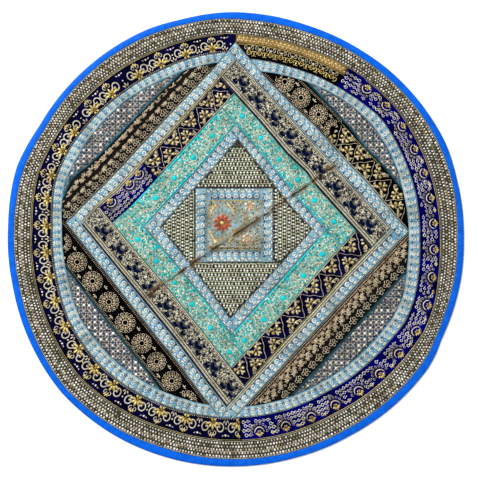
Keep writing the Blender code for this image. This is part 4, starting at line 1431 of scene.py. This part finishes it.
def sew_everything(lanes):
    """All the beads and threads, piece by piece. Places along count from the middle of a side."""
    # Each of these five is sewn by the function that has its node's name
    for sew in (bead_band, navy_border, royal_border, black_scroll_border, gold_braid):
        sew(lanes[sew.__name__])
    for half in ("left", "right"):
        sequin_strip(Sewing(lanes[f"light_blue_ring_{half}"], 25.0), 12.5, 16.0, 0.85, both=True)
    for side, curl_at, line_at in zip(SIDES, (9.5, 13.0, 9.5, 15.0), (None, 4.5, None, 4.5)):
        sequin_strip(Sewing(lanes[f"diamond_{side}"], 29.0), curl_at, size=0.95, line_at=line_at)
        upright = side in ("top_right", "top_left")
        sequin_strip(Sewing(lanes[f"inner_blue_{side}"], 25.0, upright), 9.0 if upright else 8.0, size=0.9)
    for side in ("right", "top", "left", "bottom"):
        sequin_strip(Sewing(lanes[f"square_{side}"], 24.0), 9.0, size=0.9)
        beaded_triangle(lanes[f"beaded_{side}"])
    for side, big in (
        ("top_right", (247.0, 195.0, 144.0, 91.0, 40.0, -11.0, -62.0, -116.0, -171.0)),
        ("bottom_left", (194.0, 140.0, 84.0, 31.0, -21.0, -77.0, -131.0, -190.0, -247.0)),
    ):
        beige_floral(Sewing(lanes[f"second_{side}"], 57.0, side == "bottom_left"), np.array(big))
    black_floral(
        Sewing(lanes["second_top_left_upper"], 46.0),
        (18.0, -39.0, -96.0, -156.0, -207.0), (-9.0, -70.0, -125.0, -184.0, -238.0), 57.0,
    )
    black_floral(
        Sewing(lanes["second_bottom_right"], 50.0),
        (157.0, 95.0, 35.0, -27.0, -90.0, -152.0, -207.0),
        (187.0, 127.0, 67.0, 5.0, -55.0, -115.0, -175.0), 60.0,
    )
    royal_patch(Sewing(lanes["second_top_left_lower"], 46.0))
    for side, dots, wedges, dots_at, wedge_at, stripes in (
        ("top_right", (195, 132, 70, 9, -49, -112), (210, 152, 90, 32), 24.0, 44.5, (2.9,)),
        ("top_left", (112, 51, -9, -71, -134, -204), (77, 12, -46, -110, -172), 23.0, 44.5, (2.9, 47.1)),
        ("bottom_left", (184, 117, 51, -11, -72, -135, -197), (92, 27, -31, -96), 28.0, 5.0, (2.9,)),
        ("bottom_right", (102, 39, -27, -91, -154, -194), (140, 76, 11, -52, -114), 29.0, 5.0, (2.9,)),
    ):
        sewing = Sewing(lanes[f"turquoise_{side}"], 50.0 if side == "top_left" else 47.0)
        turquoise_strip(sewing, np.array(dots), np.array(wedges), dots_at, wedge_at, stripes)
    side_scrolls(Sewing(lanes["side_border_top_left"]), 11.0, 34.0, (1.8,))
    side_scrolls(Sewing(lanes["side_border_bottom_right"]), 46.0, 22.5, (2.0, 6.5))
    suns(Sewing(lanes["side_border_top_right_upper"]), (137.0, 87.0, 34.0, -12.0), 23.0)
    suns(
        Sewing(lanes["side_border_bottom_left"]),
        (-230.0, -176.0, -122.0, -64.0, -6.0, 52.0, 104.0, 158.0, 212.0), 34.0,
    )
    black_floral(
        Sewing(lanes["side_border_top_right_lower"]),
        (52.0, -1.0, -55.0, -110.0, -165.0), (25.0, -25.0, -82.0, -142.0, -196.0), 55.0,
    )
    for side in SIDES:
        node = f"crosshatch_{side}"
        bright = 0.5 if side in ("top_left", "bottom_left") else 0.15
        crosshatch(lanes[node], Lane(node, 90.0, 0.0), Lane(node, 0.0, 0.0), bright)
        sewing = Sewing(lanes[f"piping_{side}"])
        sewing.stitches("teal_thread", sewing.width / 2.0, 2.4, 2.0, 1.0, 1.3, 60.0)
    medallion(lanes["medallion"])


def fit_work():
    """One mesh of every colour sewn on every kind of cloth."""
    for (slot, colour), batches in WORK.items():
        points, faces, first = [], [], 0
        for placed, blocks in batches:
            copies, corners = placed.shape[:2]
            starts = first + np.arange(copies) * corners
            faces += [(starts[:, None, None] + block).reshape(-1, block.shape[1]) for block in blocks]
            points.append(placed.reshape(-1, 3))
            first += copies * corners
        add_mesh(f"{slot}_{colour}", np.concatenate(points), faces, MATERIALS[colour])


stage()
MATERIALS = make_materials()
LANES = lanes_of_piece()
for piece_lane in LANES.values():
    fine = near_crease(piece_lane)
    cloth(piece_lane, MATERIALS[SLOT_OF[piece_lane.node]], FINE_STEP if fine else COARSE_STEP)
ground_cloth(MATERIALS["ground_cotton"])
edge_binding(MATERIALS["blue_satin"])
sew_everything(LANES)
fit_work()
